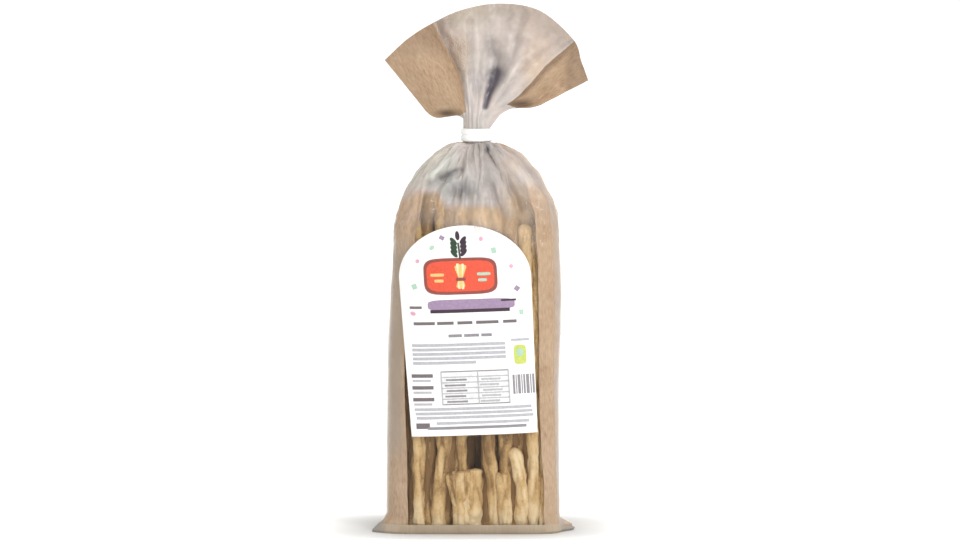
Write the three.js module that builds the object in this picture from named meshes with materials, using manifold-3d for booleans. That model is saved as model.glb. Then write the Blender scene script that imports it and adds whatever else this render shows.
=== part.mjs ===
// A tied window bag of grissini breadsticks, full and standing on its flat block bottom.
// The bag is one sheet-walled pack, modelled out to its outer surface: a bulging body that narrows to
// a round shoulder, a neck gathered in pleats, and a mouth fanned out flat above the neck.
// A twist tie holds the neck, and an arched paper label lies on the front panel.
//
// Frame: millimetres, +Z up, front panel facing -Y, origin at the middle of the base.

import * as THREE from "three";
import { mergeVertices } from "three/addons/utils/BufferGeometryUtils.js";
import Module from "manifold-3d";

// ---- Driving dimensions -------------------------------------------------------------------------

// Body, from the base up: half width, half depth and squareness of the section at each height.
const BODY_SECTIONS = [
  { z: 0, halfWidth: 58.5, halfDepth: 28, squareness: 9 },
  { z: 1.5, halfWidth: 60, halfDepth: 29.5, squareness: 8 },
  { z: 12, halfWidth: 59, halfDepth: 31.5, squareness: 5 },
  { z: 45, halfWidth: 59, halfDepth: 34.5, squareness: 3.7 },
  { z: 110, halfWidth: 58.5, halfDepth: 36, squareness: 3.2 },
  { z: 165, halfWidth: 58.8, halfDepth: 35.5, squareness: 3 },
  { z: 196, halfWidth: 57.8, halfDepth: 33.5, squareness: 2.8 },
];
const SHOULDER_Z = 196; // the round shoulder starts here
const NECK_Z = 264; // and ends here, at the gathered neck
const NECK_SQUARENESS = 2;
const NECK_RADIUS = 9;
const NECK_SHIFT = 2.5; // the neck leans this far to +X
const LEAN_FROM_Z = 80; // the body starts to lean towards it here
const GUSSET_VALLEY = 3.2; // how far a gusset's middle folds in at the shoulder
const GUSSET_SHARE = 0.13; // half width of that fold, as a share of half the bag's girth
const GUSSET_FOLDS_IN = [120, 216]; // it deepens between these heights

// The block bottom's folds stick out as an ear at each end, on the front side. An ear of power 1
// narrows evenly as it rises, and one of a higher power stays wide for longer.
const FOOT_EARS = [
  { share: -0.77, out: 10, height: 11, width: 0.07, power: 1 },
  { share: 0.86, out: 9.5, height: 7, width: 0.07, power: 4 },
];

// Sticks that press on the walls raise broad soft ridges.
const RIDGE_HEIGHT = 0.6;
const RIDGE_PITCH = 19;
const RIDGE_WANDER = 3; // how far a ridge strays to each side on its way up
const RIDGE_WANDER_OVER = 45;
const RIDGES_START = [6, 30]; // they rise between these heights
const RIDGES_END = [190, 225]; // and fade between these

// Pleats that gather the wall at the neck. Their spacing drifts as they go round.
const PLEATS = 18;
const PLEAT_DEPTH_SHOULDER = 2.4;
const PLEAT_DEPTH_NECK = 0.9;
const PLEAT_DRIFTS = [
  { waves: 3, pleats: 0.35 },
  { waves: 5, pleats: 0.2 },
];

// Mouth: the wall above the tie. Each rib is a line of the wall, at a share of the way from the left
// gusset's middle (-1) to the right one's (1). It rises from the neck, passes the bend and ends at the
// mouth's edge. Points are [x, y, z] from the middle of the neck at the tie's upper edge.
const TIE_TOP_Z = 274;
const RIBS = [
  { share: -1, bend: [-30, -3, 6], mouth: [-62, -9, 46] },
  { share: -0.78, bend: [-23.5, -9, 21], mouth: [-46, -16, 60.5] },
  { share: -0.54, bend: [-10.5, -3, 35], mouth: [-29.5, -1, 71] },
  { share: -0.25, bend: [-4, -6, 37], mouth: [-9, -8, 80] },
  { share: 0.1, bend: [7, 3, 36], mouth: [17, 5, 84] },
  { share: 0.35, bend: [20, -7, 32], mouth: [43, -9, 79] },
  { share: 0.56, bend: [36, -8, 25.5], mouth: [65, -11, 60] },
  { share: 0.78, bend: [38.5, 4, 18.5], mouth: [71, 3, 45] },
  { share: 1, bend: [40, 3, 13.5], mouth: [76, 6, 32] },
];
const RISE = 9; // the wall rises this far above the tie before it spreads
const RISE_FLARE = { across: 10, up: 4, shares: [0.3, 1] }; // but opens out on the right as it rises
const RISE_AT = 0.12; // share of the way to the mouth's edge where the wall starts to spread
const BEND_AT = 0.42; // and where it passes the bend
const MOUTH_GAP = 3.2; // between the front and back walls at the mouth's edge
const FAN_PLEATS = 7;
const FAN_PLEAT_DEPTH = 1.7;

// Label: a little wider at the top than at the foot, with a low arch on top, leaning to the left,
// laid on the front panel.
const LABEL_HALF_WIDTH = 43.8;
const LABEL_FOOT_HALF_WIDTH = 42;
const LABEL_STRAIGHT = 105.9;
const LABEL_ARCH = 35.4; // height of the arch over the straight part
const LABEL_FOOT = { x: 1.2, z: 68.8 }; // middle of its lower edge
const LABEL_LEAN = THREE.MathUtils.degToRad(3.4); // of its middle line
const LABEL_TILT = THREE.MathUtils.degToRad(2); // of its lower edge
const LABEL_THICKNESS = 0.5;
const LABEL_GAP = 0.4; // to the ridges of the bag's wall
const LABEL_TIP = 0.06; // the arch ends in a flat this share of its width

// Twist tie: two turns side by side round the neck, and a twisted tail behind it.
const TIE_CLEARANCE = 0.3;
const TIE_THICKNESS = 1.4;
const TIE_TURN_WIDTH = 4.4;
const TIE_TURNS = 2;
const TIE_BOTTOM_Z = 264.9;
const TAIL_LENGTH = 22;
const TAIL_WIDTH = 4;
const TAIL_THICKNESS = 1.8;
const TAIL_TWISTS = 2.5;
const TAIL_RISE = 3;
const TAIL_SUNK = 0.65; // share of the ring's thickness that the tail's root goes into it

// Mesh density.
const HALF_POINTS = 40; // round one side of the bag, from gusset to gusset
const BODY_ROWS_BETWEEN = [1, 2, 3, 3, 3, 2];
const SHOULDER_ROWS = 9;
const FAN_ROWS = 13;

// ---- Materials ----------------------------------------------------------------------------------

const finish = (color, roughness) =>
  new THREE.MeshStandardMaterial({ color, roughness, metalness: 0, side: THREE.DoubleSide });
const kraftPaper = finish(0xc2a27f, 0.8);
const labelPaper = finish(0xf3f1ee, 0.5);
const tiePaper = finish(0xf7f6f3, 0.6);

// ---- Small helpers ------------------------------------------------------------------------------

const { lerp, smoothstep } = THREE.MathUtils;

// A soft-cornered triangle wave of period 1 that runs from 0, on a ridge, to 1, in a valley.
function foldWave(phase) {
  const turn = phase - Math.floor(phase);
  const sharp = 1 - Math.abs(2 * turn - 1);
  return lerp(sharp, smoothstep(sharp, 0, 1), 0.4);
}

// Pleats are uneven: the phase runs ahead and falls behind as it goes round.
function pleatWave(side, share) {
  const around = (side * share + 1) / 4 + (side > 0 ? 0.5 : 0);
  let phase = PLEATS * around;
  for (const { waves, pleats } of PLEAT_DRIFTS) phase += pleats * Math.sin(2 * Math.PI * waves * around);
  return foldWave(phase);
}

// The section of the bag at a height below the neck.
function sectionAt(z) {
  if (z >= SHOULDER_Z) {
    const up = Math.min(1, (z - SHOULDER_Z) / (NECK_Z - SHOULDER_Z));
    return shoulderSection(Math.asin(up));
  }
  const next = BODY_SECTIONS.findIndex((s) => s.z > z);
  const low = BODY_SECTIONS[next - 1];
  const high = BODY_SECTIONS[next];
  const t = (z - low.z) / (high.z - low.z);
  return {
    z,
    halfWidth: lerp(low.halfWidth, high.halfWidth, t),
    halfDepth: lerp(low.halfDepth, high.halfDepth, t),
    squareness: lerp(low.squareness, high.squareness, t),
    up: 0,
  };
}

// The shoulder is a quarter ellipse in side view: angle 0 is the body's top, a quarter turn the neck.
function shoulderSection(angle) {
  const body = BODY_SECTIONS[BODY_SECTIONS.length - 1];
  const out = Math.cos(angle);
  const up = Math.sin(angle);
  return {
    z: lerp(SHOULDER_Z, NECK_Z, up),
    halfWidth: lerp(NECK_RADIUS, body.halfWidth, out),
    halfDepth: lerp(NECK_RADIUS, body.halfDepth, out),
    squareness: lerp(body.squareness, NECK_SQUARENESS, angle / (Math.PI / 2)),
    up: angle / (Math.PI / 2),
  };
}

// How far the section's middle has moved to +X at a height.
const leanAt = (z) => NECK_SHIFT * smoothstep(z, LEAN_FROM_Z, SHOULDER_Z);

// Soft ridges of the sticks behind the wall, fading out at the base, the shoulder and the gussets.
function ridgeAt(x, z, section) {
  const inside = 1 - smoothstep(Math.abs(x) / section.halfWidth, 0.7, 0.9);
  const along = smoothstep(z, ...RIDGES_START) * (1 - smoothstep(z, ...RIDGES_END));
  const stray = RIDGE_WANDER * Math.sin(z / RIDGE_WANDER_OVER);
  const wave = Math.cos((2 * Math.PI * (x + stray)) / RIDGE_PITCH);
  return RIDGE_HEIGHT * inside * along * wave;
}

// How far the ears of the bottom's folds move a place: to -X at the left and to +X at the right.
function footEarsAt(share, side, z) {
  if (side > 0) return 0;
  const earAt = (ear) => {
    const low = Math.max(0, 1 - (z / ear.height) ** ear.power);
    return Math.sign(ear.share) * ear.out * low * Math.exp(-(((share - ear.share) / ear.width) ** 2));
  };
  return FOOT_EARS.reduce((sum, ear) => sum + earAt(ear), 0);
}

// ---- Bag wall -----------------------------------------------------------------------------------

// Half of a rounded section, from the left gusset's middle to the right one's, in steps of equal length.
function halfSection(section, side) {
  const power = 2 / section.squareness;
  const steps = 400;
  const path = [];
  for (let i = 0; i <= steps; i++) {
    const turn = Math.PI * (1 - i / steps);
    const x = section.halfWidth * Math.sign(Math.cos(turn)) * Math.abs(Math.cos(turn)) ** power;
    const y = side * section.halfDepth * Math.abs(Math.sin(turn)) ** power;
    path.push(new THREE.Vector2(x, y));
  }
  const reached = [0];
  for (let i = 1; i <= steps; i++) reached.push(reached[i - 1] + path[i].distanceTo(path[i - 1]));
  const points = [];
  let at = 1;
  for (let k = 0; k <= HALF_POINTS; k++) {
    const length = (reached[steps] * k) / HALF_POINTS;
    while (at < steps && reached[at] < length) at++;
    const t = (length - reached[at - 1]) / (reached[at] - reached[at - 1]);
    points.push(path[at - 1].clone().lerp(path[at], t));
  }
  return points;
}

// Visits the wall once round: the front from left to right, then the back from right to left.
function roundTheWall(place) {
  const row = [];
  for (let k = 0; k < HALF_POINTS; k++) row.push(place(-1 + (2 * k) / HALF_POINTS, -1, k));
  for (let k = HALF_POINTS; k > 0; k--) row.push(place(-1 + (2 * k) / HALF_POINTS, 1, k));
  return row;
}

// One row of points round the bag below the tie.
function bodyRow(section) {
  const halves = { [-1]: halfSection(section, -1), 1: halfSection(section, 1) };
  const gather = smoothstep(section.up, 0.1, 0.7);
  const depth = gather * lerp(PLEAT_DEPTH_SHOULDER, PLEAT_DEPTH_NECK, smoothstep(section.up, 0.7, 1));
  const body = smoothstep(section.z, ...GUSSET_FOLDS_IN) * (1 - smoothstep(section.up, 0.6, 1));
  return roundTheWall((share, side, k) => {
    const point = halves[side][k];
    const inwards = 1 - (depth * pleatWave(side, share)) / point.length();
    const valley = GUSSET_VALLEY * body * Math.exp(-(((1 - Math.abs(share)) / GUSSET_SHARE) ** 2));
    const x = point.x * inwards - Math.sign(share) * valley + footEarsAt(share, side, section.z);
    const y = point.y * inwards + side * ridgeAt(point.x, section.z, section);
    return new THREE.Vector3(x + leanAt(section.z), y, section.z);
  });
}

// A point of a rib list by share, on a smooth curve through the ribs.
function betweenRibs(key, share) {
  const last = RIBS.length - 1;
  let at = RIBS.findIndex((rib) => rib.share >= share);
  at = THREE.MathUtils.clamp(at - 1, 0, last - 1);
  const value = (i) => new THREE.Vector3(...RIBS[THREE.MathUtils.clamp(i, 0, last)][key]);
  const shareOf = (i) => RIBS[THREE.MathUtils.clamp(i, 0, last)].share;
  const span = shareOf(at + 1) - shareOf(at);
  const slope = (i) => {
    const run = shareOf(i + 1) - shareOf(i - 1);
    return value(i + 1).sub(value(i - 1)).multiplyScalar(span / run);
  };
  const t = (share - shareOf(at)) / span;
  const t2 = t * t;
  const t3 = t2 * t;
  return value(at)
    .multiplyScalar(2 * t3 - 3 * t2 + 1)
    .addScaledVector(slope(at), t3 - 2 * t2 + t)
    .addScaledVector(value(at + 1), -2 * t3 + 3 * t2)
    .addScaledVector(slope(at + 1), t3 - t2);
}

// One row of points round the mouth, at a share of the way from the tie to the mouth's edge.
function fanRow(along) {
  const spread = smoothstep(along, RISE_AT * 0.5, BEND_AT);
  const pleatDepth = PLEAT_DEPTH_NECK * (1 - spread);
  const fanDepth = FAN_PLEAT_DEPTH * spread * (1 - 0.7 * smoothstep(along, BEND_AT, 1));
  return roundTheWall((share, side) => {
    const turn = (share * Math.PI) / 2;
    const radius = NECK_RADIUS - pleatDepth * pleatWave(side, share);
    const foot = new THREE.Vector3(radius * Math.sin(turn), 0, 0);
    const flare = smoothstep(share, ...RISE_FLARE.shares);
    const rise = new THREE.Vector3(foot.x + RISE_FLARE.across * flare, 0, RISE + RISE_FLARE.up * flare);
    const bend = betweenRibs("bend", share);
    const mouth = betweenRibs("mouth", share);
    let point;
    if (along < RISE_AT) point = foot.lerp(rise, along / RISE_AT);
    else if (along < BEND_AT) point = rise.lerp(bend, (along - RISE_AT) / (BEND_AT - RISE_AT));
    else point = bend.lerp(mouth, (along - BEND_AT) / (1 - BEND_AT));
    const gap = lerp(radius * Math.cos(turn), (MOUTH_GAP / 2) * Math.cos(turn) ** 0.5, spread);
    const edge = 1 - Math.abs(share) ** 6;
    const pleat = fanDepth * edge * (foldWave((FAN_PLEATS * (share + 1)) / 2) - 0.5);
    point.y += side * gap + pleat;
    return point.add(new THREE.Vector3(NECK_SHIFT, 0, TIE_TOP_Z));
  });
}

// A closed skin over rows of points, each once round, with flat strips across the first and last row.
function skinOver(rows) {
  const around = 2 * HALF_POINTS;
  const positions = rows.flat().flatMap((p) => [p.x, p.y, p.z]);
  const faces = [];
  for (let r = 0; r + 1 < rows.length; r++)
    for (let i = 0; i < around; i++) {
      const a = r * around + i;
      const b = r * around + ((i + 1) % around);
      faces.push(a, b, b + around, a, b + around, a + around);
    }
  const closeRow = (start, facingDown) => {
    const triangle = (a, b, c) => faces.push(...(facingDown ? [a, c, b] : [a, b, c]));
    for (let k = 0; k < HALF_POINTS; k++) {
      const front = start + k;
      const back = start + ((around - k) % around);
      const nextBack = start + around - k - 1;
      if (k < HALF_POINTS - 1) triangle(front, front + 1, nextBack);
      if (k > 0) triangle(front, nextBack, back);
    }
  };
  closeRow(0, true);
  closeRow((rows.length - 1) * around, false);
  const geometry = new THREE.BufferGeometry();
  geometry.setAttribute("position", new THREE.Float32BufferAttribute(positions, 3));
  geometry.setIndex(faces);
  geometry.computeVertexNormals();
  return geometry;
}

function bagGeometry() {
  const sections = [];
  BODY_ROWS_BETWEEN.forEach((count, i) => {
    for (let k = 0; k < count; k++)
      sections.push(sectionAt(lerp(BODY_SECTIONS[i].z, BODY_SECTIONS[i + 1].z, k / count)));
  });
  for (let k = 0; k <= SHOULDER_ROWS; k++)
    sections.push(shoulderSection((Math.PI / 2) * (k / SHOULDER_ROWS)));
  const fans = [];
  for (let k = 0; k <= FAN_ROWS; k++) fans.push(fanRow(k / FAN_ROWS));
  return skinOver([...sections.map(bodyRow), ...fans]);
}

// ---- Label --------------------------------------------------------------------------------------

// The bag's front wall at a point of the front view, without its ridges and pleats.
function frontWall(x, z) {
  const section = sectionAt(z);
  const across = Math.min(0.98, Math.abs((x - leanAt(z)) / section.halfWidth));
  const depth = section.halfDepth * (1 - across ** section.squareness) ** (1 / section.squareness);
  return new THREE.Vector3(x, -depth, z);
}

// The same wall, moved out by a distance along its normal.
function offFrontWall(x, z, distance) {
  const step = 0.5;
  const alongX = frontWall(x + step, z).sub(frontWall(x - step, z));
  const alongZ = frontWall(x, z + step).sub(frontWall(x, z - step));
  return frontWall(x, z).addScaledVector(alongX.cross(alongZ).normalize(), distance);
}

function labelGeometry() {
  const columns = 16;
  const straightRows = 8;
  const archRows = 8;
  const outline = [];
  for (let i = 0; i < straightRows; i++) {
    const t = i / straightRows;
    outline.push({ up: LABEL_STRAIGHT * t, half: lerp(LABEL_FOOT_HALF_WIDTH, LABEL_HALF_WIDTH, t) });
  }
  for (let i = 0; i <= archRows; i++) {
    const turn = Math.acos(LABEL_TIP) * (i / archRows);
    outline.push({
      up: LABEL_STRAIGHT + LABEL_ARCH * Math.sin(turn),
      half: LABEL_HALF_WIDTH * Math.cos(turn),
    });
  }
  const place = (across, up, distance) => {
    const x = LABEL_FOOT.x + across * Math.cos(LABEL_TILT) - up * Math.sin(LABEL_LEAN);
    const z = LABEL_FOOT.z + across * Math.sin(LABEL_TILT) + up * Math.cos(LABEL_LEAN);
    return offFrontWall(x, z, distance);
  };
  const positions = [];
  const faces = [];
  const wide = columns + 1;
  const layer = outline.length * wide;
  const inner = RIDGE_HEIGHT + LABEL_GAP;
  for (const distance of [inner, inner + LABEL_THICKNESS])
    for (const { up, half } of outline)
      for (let c = 0; c <= columns; c++) {
        const p = place(lerp(-half, half, c / columns), up, distance);
        positions.push(p.x, p.y, p.z);
      }
  const quad = (a, b, c, d) => faces.push(a, b, c, a, c, d);
  for (let r = 0; r + 1 < outline.length; r++)
    for (let c = 0; c < columns; c++) {
      const a = r * wide + c;
      quad(layer + a, layer + a + 1, layer + a + wide + 1, layer + a + wide);
      quad(a + 1, a, a + wide, a + wide + 1);
    }
  for (let c = 0; c < columns; c++) {
    const top = (outline.length - 1) * wide + c;
    quad(c, c + 1, layer + c + 1, layer + c);
    quad(top + 1, top, layer + top, layer + top + 1);
  }
  for (let r = 0; r + 1 < outline.length; r++) {
    const left = r * wide;
    const right = left + columns;
    quad(left + wide, left, layer + left, layer + left + wide);
    quad(right, right + wide, layer + right + wide, layer + right);
  }
  const geometry = new THREE.BufferGeometry();
  geometry.setAttribute("position", new THREE.Float32BufferAttribute(positions, 3));
  geometry.setIndex(faces);
  geometry.computeVertexNormals();
  return geometry;
}

// ---- Twist tie ----------------------------------------------------------------------------------

// A ring of turns side by side, each with a rounded outer face.
function tieRing() {
  const inner = NECK_RADIUS + TIE_CLEARANCE;
  const profile = [new THREE.Vector2(inner, 0)];
  for (let turn = 0; turn < TIE_TURNS; turn++) {
    const foot = turn * TIE_TURN_WIDTH;
    for (const [up, out] of [
      [0.04, 0.45],
      [0.18, 0.92],
      [0.5, 1],
      [0.82, 0.92],
      [0.96, 0.45],
    ])
      profile.push(new THREE.Vector2(inner + out * TIE_THICKNESS, foot + up * TIE_TURN_WIDTH));
  }
  profile.push(new THREE.Vector2(inner, TIE_TURNS * TIE_TURN_WIDTH), profile[0].clone());
  const ring = new THREE.LatheGeometry(profile, 48);
  return ring.rotateX(Math.PI / 2).translate(NECK_SHIFT, 0, TIE_BOTTOM_Z);
}

// The two ends of the tie, twisted together into a flat screw that points back from the ring.
function tieTail() {
  const slices = 26;
  const bar = new THREE.BoxGeometry(TAIL_WIDTH, TAIL_LENGTH, TAIL_THICKNESS, 2, slices, 1);
  const position = bar.getAttribute("position");
  for (let i = 0; i < position.count; i++) {
    const p = new THREE.Vector3().fromBufferAttribute(position, i);
    const along = p.y / TAIL_LENGTH + 0.5;
    p.applyAxisAngle(new THREE.Vector3(0, 1, 0), along * TAIL_TWISTS * Math.PI);
    p.z += TAIL_RISE * along * along;
    position.setXYZ(i, p.x, p.y, p.z);
  }
  const start = NECK_RADIUS + TIE_CLEARANCE + TIE_THICKNESS * (1 - TAIL_SUNK);
  const middle = TIE_BOTTOM_Z + (TIE_TURNS * TIE_TURN_WIDTH) / 2;
  return bar.translate(NECK_SHIFT, start + TAIL_LENGTH / 2, middle);
}

// ---- Joining with manifold-3d -------------------------------------------------------------------

const wasm = await Module();
wasm.setup();

function toSolid(geometry) {
  const bare = geometry.clone();
  bare.deleteAttribute("normal");
  bare.deleteAttribute("uv");
  const merged = mergeVertices(bare, 1e-4);
  const vertProperties = new Float32Array(merged.getAttribute("position").array);
  const triVerts = new Uint32Array(merged.index.array);
  return new wasm.Manifold(new wasm.Mesh({ numProp: 3, vertProperties, triVerts }));
}

function toGeometry(solid) {
  const mesh = solid.getMesh();
  const geometry = new THREE.BufferGeometry();
  geometry.setAttribute("position", new THREE.BufferAttribute(mesh.vertProperties, 3));
  geometry.setIndex(new THREE.BufferAttribute(mesh.triVerts, 1));
  geometry.computeVertexNormals();
  return geometry;
}

// ---- The part -----------------------------------------------------------------------------------

function part(name, geometry, material) {
  const mesh = new THREE.Mesh(geometry, material);
  mesh.name = name;
  return mesh;
}

const breadBag = new THREE.Group();
breadBag.name = "grissini_bag";
breadBag.add(part("bag", bagGeometry(), kraftPaper));
breadBag.add(part("label", labelGeometry(), labelPaper));
breadBag.add(part("neck_tie", toGeometry(toSolid(tieRing()).add(toSolid(tieTail()))), tiePaper));

export default breadBag;
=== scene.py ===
"""Dresses a tied window bag of grissini: paper shell, film front, breadsticks, label and twist tie.

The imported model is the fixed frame. Sizes are millimetres until a mesh is finished, and the shape of
the bag follows the same named sizes as the solid that it replaces.
"""

import logging
import math
import random
from collections.abc import Callable
from dataclasses import dataclass, field, replace
from enum import Enum

import bpy
import numpy as np
from bpy.types import Material, Node, NodeSocket, NodeTree, Object
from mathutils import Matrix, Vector, noise


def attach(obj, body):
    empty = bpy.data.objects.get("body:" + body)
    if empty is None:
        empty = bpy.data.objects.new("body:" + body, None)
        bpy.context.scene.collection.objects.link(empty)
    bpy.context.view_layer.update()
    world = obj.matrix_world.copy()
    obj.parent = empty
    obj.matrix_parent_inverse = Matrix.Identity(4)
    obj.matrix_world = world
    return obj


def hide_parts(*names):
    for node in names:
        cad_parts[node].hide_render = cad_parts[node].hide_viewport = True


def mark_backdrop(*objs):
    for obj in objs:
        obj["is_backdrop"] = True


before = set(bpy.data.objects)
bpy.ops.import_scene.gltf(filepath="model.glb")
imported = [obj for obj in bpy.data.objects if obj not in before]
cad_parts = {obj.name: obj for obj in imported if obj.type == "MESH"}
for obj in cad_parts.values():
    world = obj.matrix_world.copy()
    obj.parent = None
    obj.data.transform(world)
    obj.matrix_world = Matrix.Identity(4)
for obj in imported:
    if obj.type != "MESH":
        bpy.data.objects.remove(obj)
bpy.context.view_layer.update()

LOG = logging.getLogger("grissini_bag")

Pair = tuple[float, float]

# One millimetre in metres, and the height in millimetres above which the wall is the mouth.
MM = 0.001
MOUTH_FROM_Z = 275


# ---- Small helpers ------------------------------------------------------------------------------


def linear(code: str) -> tuple[float, float, float, float]:
    """Turns an sRGB hex colour into linear red, green, blue and alpha.

    Args:
        code: Six hex digits, such as "C2A27F".

    Returns:
        The colour in linear light, with alpha 1.
    """
    parts = [int(code[i:i + 2], 16) / 255 for i in (0, 2, 4)]
    lit = [p / 12.92 if p <= 0.04045 else ((p + 0.055) / 1.055) ** 2.4 for p in parts]
    return (lit[0], lit[1], lit[2], 1.0)


def smoothstep(x: np.ndarray | float, low: float, high: float) -> np.ndarray | float:
    """Rises smoothly from 0 at low to 1 at high."""
    t = np.clip((x - low) / (high - low), 0.0, 1.0)
    return t * t * (3 - 2 * t)


def lerp(low: float, high: float, t: np.ndarray | float) -> np.ndarray | float:
    """Goes straight from low at 0 to high at 1."""
    return low + (high - low) * t


def between(x: np.ndarray | float, up: Pair, down: Pair) -> np.ndarray | float:
    """Rises smoothly from 0 to 1 over the span up, and falls back to 0 over the span down."""
    return smoothstep(x, *up) * (1 - smoothstep(x, *down))


def bell(x: np.ndarray, middle: float, width: float) -> np.ndarray:
    """A smooth bump: 1 at its middle, about a third at its width from there and 0 far away."""
    return np.exp(-(((x - middle) / width) ** 2))


def fold_wave(phase: np.ndarray) -> np.ndarray:
    """A soft-cornered triangle wave.

    Args:
        phase: Its places, with one fold to each whole number.

    Returns:
        From 0 on a ridge to 1 in a valley.
    """
    turn = phase - np.floor(phase)
    sharp = 1 - np.abs(2 * turn - 1)
    return lerp(sharp, smoothstep(sharp, 0.0, 1.0), 0.4)


def field_noise(points: np.ndarray, size: float, seed: float) -> np.ndarray:
    """Smooth noise in space.

    Args:
        points: Places, in millimetres, with three columns.
        size: Size of one lump, in millimetres.
        seed: Moves the noise to another part of its field.

    Returns:
        One value for each place, from about -1 to 1.
    """
    shift = Vector((seed * 7.31, seed * -3.17, seed * 5.53))
    flat = points.reshape(-1, 3) / size
    values = [noise.noise(Vector(p) + shift) for p in flat.tolist()]
    return np.array(values).reshape(points.shape[:-1])


def crinkle_noise(points: np.ndarray, size: float, seed: float) -> np.ndarray:
    """Folded noise: sharp ridges and sharp valleys with flat slopes between, as in crinkled film.

    Args:
        points: Places, in millimetres, with three columns.
        size: Size of one facet, in millimetres.
        seed: Moves the noise to another part of its field.

    Returns:
        One value for each place, from about -0.5 to 0.5.
    """
    ridges = np.abs(field_noise(points, size, seed))
    valleys = np.abs(field_noise(points, size * 0.8, seed + 40))
    return valleys - ridges


def add_node(tree: NodeTree, kind: str, inputs: dict | None = None, **settings: object) -> Node:
    """Adds a shader node, sets it up and links what feeds it.

    Args:
        tree: The material's node tree.
        kind: The node's type, such as "ShaderNodeTexNoise".
        inputs: Socket name or number to a value, or to the output socket that feeds it.
        **settings: Properties of the node.

    Returns:
        The new node.
    """
    node = tree.nodes.new(kind)
    for name, value in settings.items():
        setattr(node, name, value)
    for name, value in (inputs or {}).items():
        if isinstance(value, NodeSocket):
            tree.links.new(value, node.inputs[name])
        else:
            node.inputs[name].default_value = value
    return node


class Recipe:
    """A material in the making: its node tree, and short ways to the nodes that the finishes share."""

    def __init__(self, name: str) -> None:
        """Starts a material that has only texture coordinates.

        Args:
            name: The material's name.
        """
        self.material = bpy.data.materials.new(name)
        self.material.use_nodes = True
        self.tree = self.material.node_tree
        self.tree.nodes.clear()
        place = add_node(self.tree, "ShaderNodeTexCoord").outputs
        self.on_sheet, self.in_space = place["UV"], place["Object"]

    def noise(self, place: NodeSocket, size: float, detail: float, roughness: float = 0.5,
              distortion: float = 0.0, **settings: object) -> NodeSocket:
        """Noise with lumps of a size in millimetres."""
        return add_node(self.tree, "ShaderNodeTexNoise", {
            "Vector": place, "Scale": 1 / (size * MM), "Detail": detail, "Roughness": roughness,
            "Distortion": distortion}, **settings).outputs["Fac"]

    def mapped(self, place: NodeSocket, scale: tuple[float, float, float]) -> NodeSocket:
        """Coordinates that are scaled along each axis."""
        return add_node(self.tree, "ShaderNodeMapping", {"Vector": place, "Scale": scale}).outputs[0]

    def calculate(self, operation: str, *values: NodeSocket | float, **settings: object) -> NodeSocket:
        """The result of an operation on numbers or sockets."""
        inputs = dict(enumerate(values))
        return add_node(self.tree, "ShaderNodeMath", inputs, operation=operation, **settings).outputs[0]

    def stored(self, name: str) -> NodeSocket:
        """A number that the mesh stores for each vertex."""
        return add_node(self.tree, "ShaderNodeAttribute", attribute_name=name,
                        attribute_type="GEOMETRY").outputs["Fac"]

    def ramp(self, factor: NodeSocket, *stops: tuple[float, str]) -> NodeSocket:
        """A colour ramp.

        Args:
            factor: What the ramp reads.
            *stops: Places from 0 to 1, each with its sRGB hex colour.

        Returns:
            The ramp's colour.
        """
        node = add_node(self.tree, "ShaderNodeValToRGB", {"Fac": factor})
        elements = node.color_ramp.elements
        while len(elements) < len(stops):
            elements.new(0.5)
        for element, (place, code) in zip(elements, stops):
            element.position = place
            element.color = linear(code)
        return node.outputs["Color"]

    def blend(self, factor: NodeSocket | float, low: NodeSocket | tuple, high: NodeSocket | tuple,
              **settings: object) -> NodeSocket:
        """A colour that goes from low at a factor of 0 to high at 1."""
        return add_node(self.tree, "ShaderNodeMix", {"Factor": factor, "A": low, "B": high},
                        data_type="RGBA", **settings).outputs[2]

    def mix(self, factor: NodeSocket, low: NodeSocket, high: NodeSocket) -> NodeSocket:
        """A surface that goes from low at a factor of 0 to high at 1."""
        return add_node(self.tree, "ShaderNodeMixShader", {0: factor, 1: low, 2: high}).outputs[0]

    def bump(self, height: NodeSocket, strength: float, distance: float) -> NodeSocket:
        """Normals that follow a height over a distance in millimetres."""
        return add_node(self.tree, "ShaderNodeBump", {
            "Height": height, "Strength": strength, "Distance": distance * MM}).outputs[0]

    def surface(self, colour: NodeSocket, roughness: float, **inputs: object) -> NodeSocket:
        """An opaque surface with a colour and a roughness."""
        return add_node(self.tree, "ShaderNodeBsdfPrincipled", {
            "Base Color": colour, "Roughness": roughness, **inputs}).outputs[0]

    def finished(self, surface: NodeSocket) -> Material:
        """Puts the surface out and returns the material."""
        add_node(self.tree, "ShaderNodeOutputMaterial", {"Surface": surface})
        return self.material


def deselect() -> None:
    """Leaves nothing selected, so that an operator acts on the new piece alone."""
    bpy.ops.object.select_all(action="DESELECT")


def made(name: str, operator: Callable, **settings: object) -> Object:
    """Makes an object with an operator and names it.

    Args:
        name: The name for the object and its data.
        operator: What makes it.
        **settings: The operator's settings.

    Returns:
        The object.
    """
    deselect()
    operator(**settings)
    piece = bpy.context.active_object
    piece.name = name
    piece.data.name = name
    return piece


def corners(piece: Object) -> np.ndarray:
    """Reads the mesh's vertices.

    Args:
        piece: The piece.

    Returns:
        An array with three columns, in metres.
    """
    flat = np.empty(len(piece.data.vertices) * 3)
    piece.data.vertices.foreach_get("co", flat)
    return flat.reshape(-1, 3)


def place_corners(piece: Object, points: np.ndarray) -> None:
    """Puts the mesh's vertices where points says, in metres."""
    piece.data.vertices.foreach_set("co", points.astype(np.float32).ravel())
    piece.data.update()


def select_only(piece: Object) -> None:
    """Selects one piece and makes it the active one."""
    deselect()
    piece.select_set(True)
    bpy.context.view_layer.objects.active = piece


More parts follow.
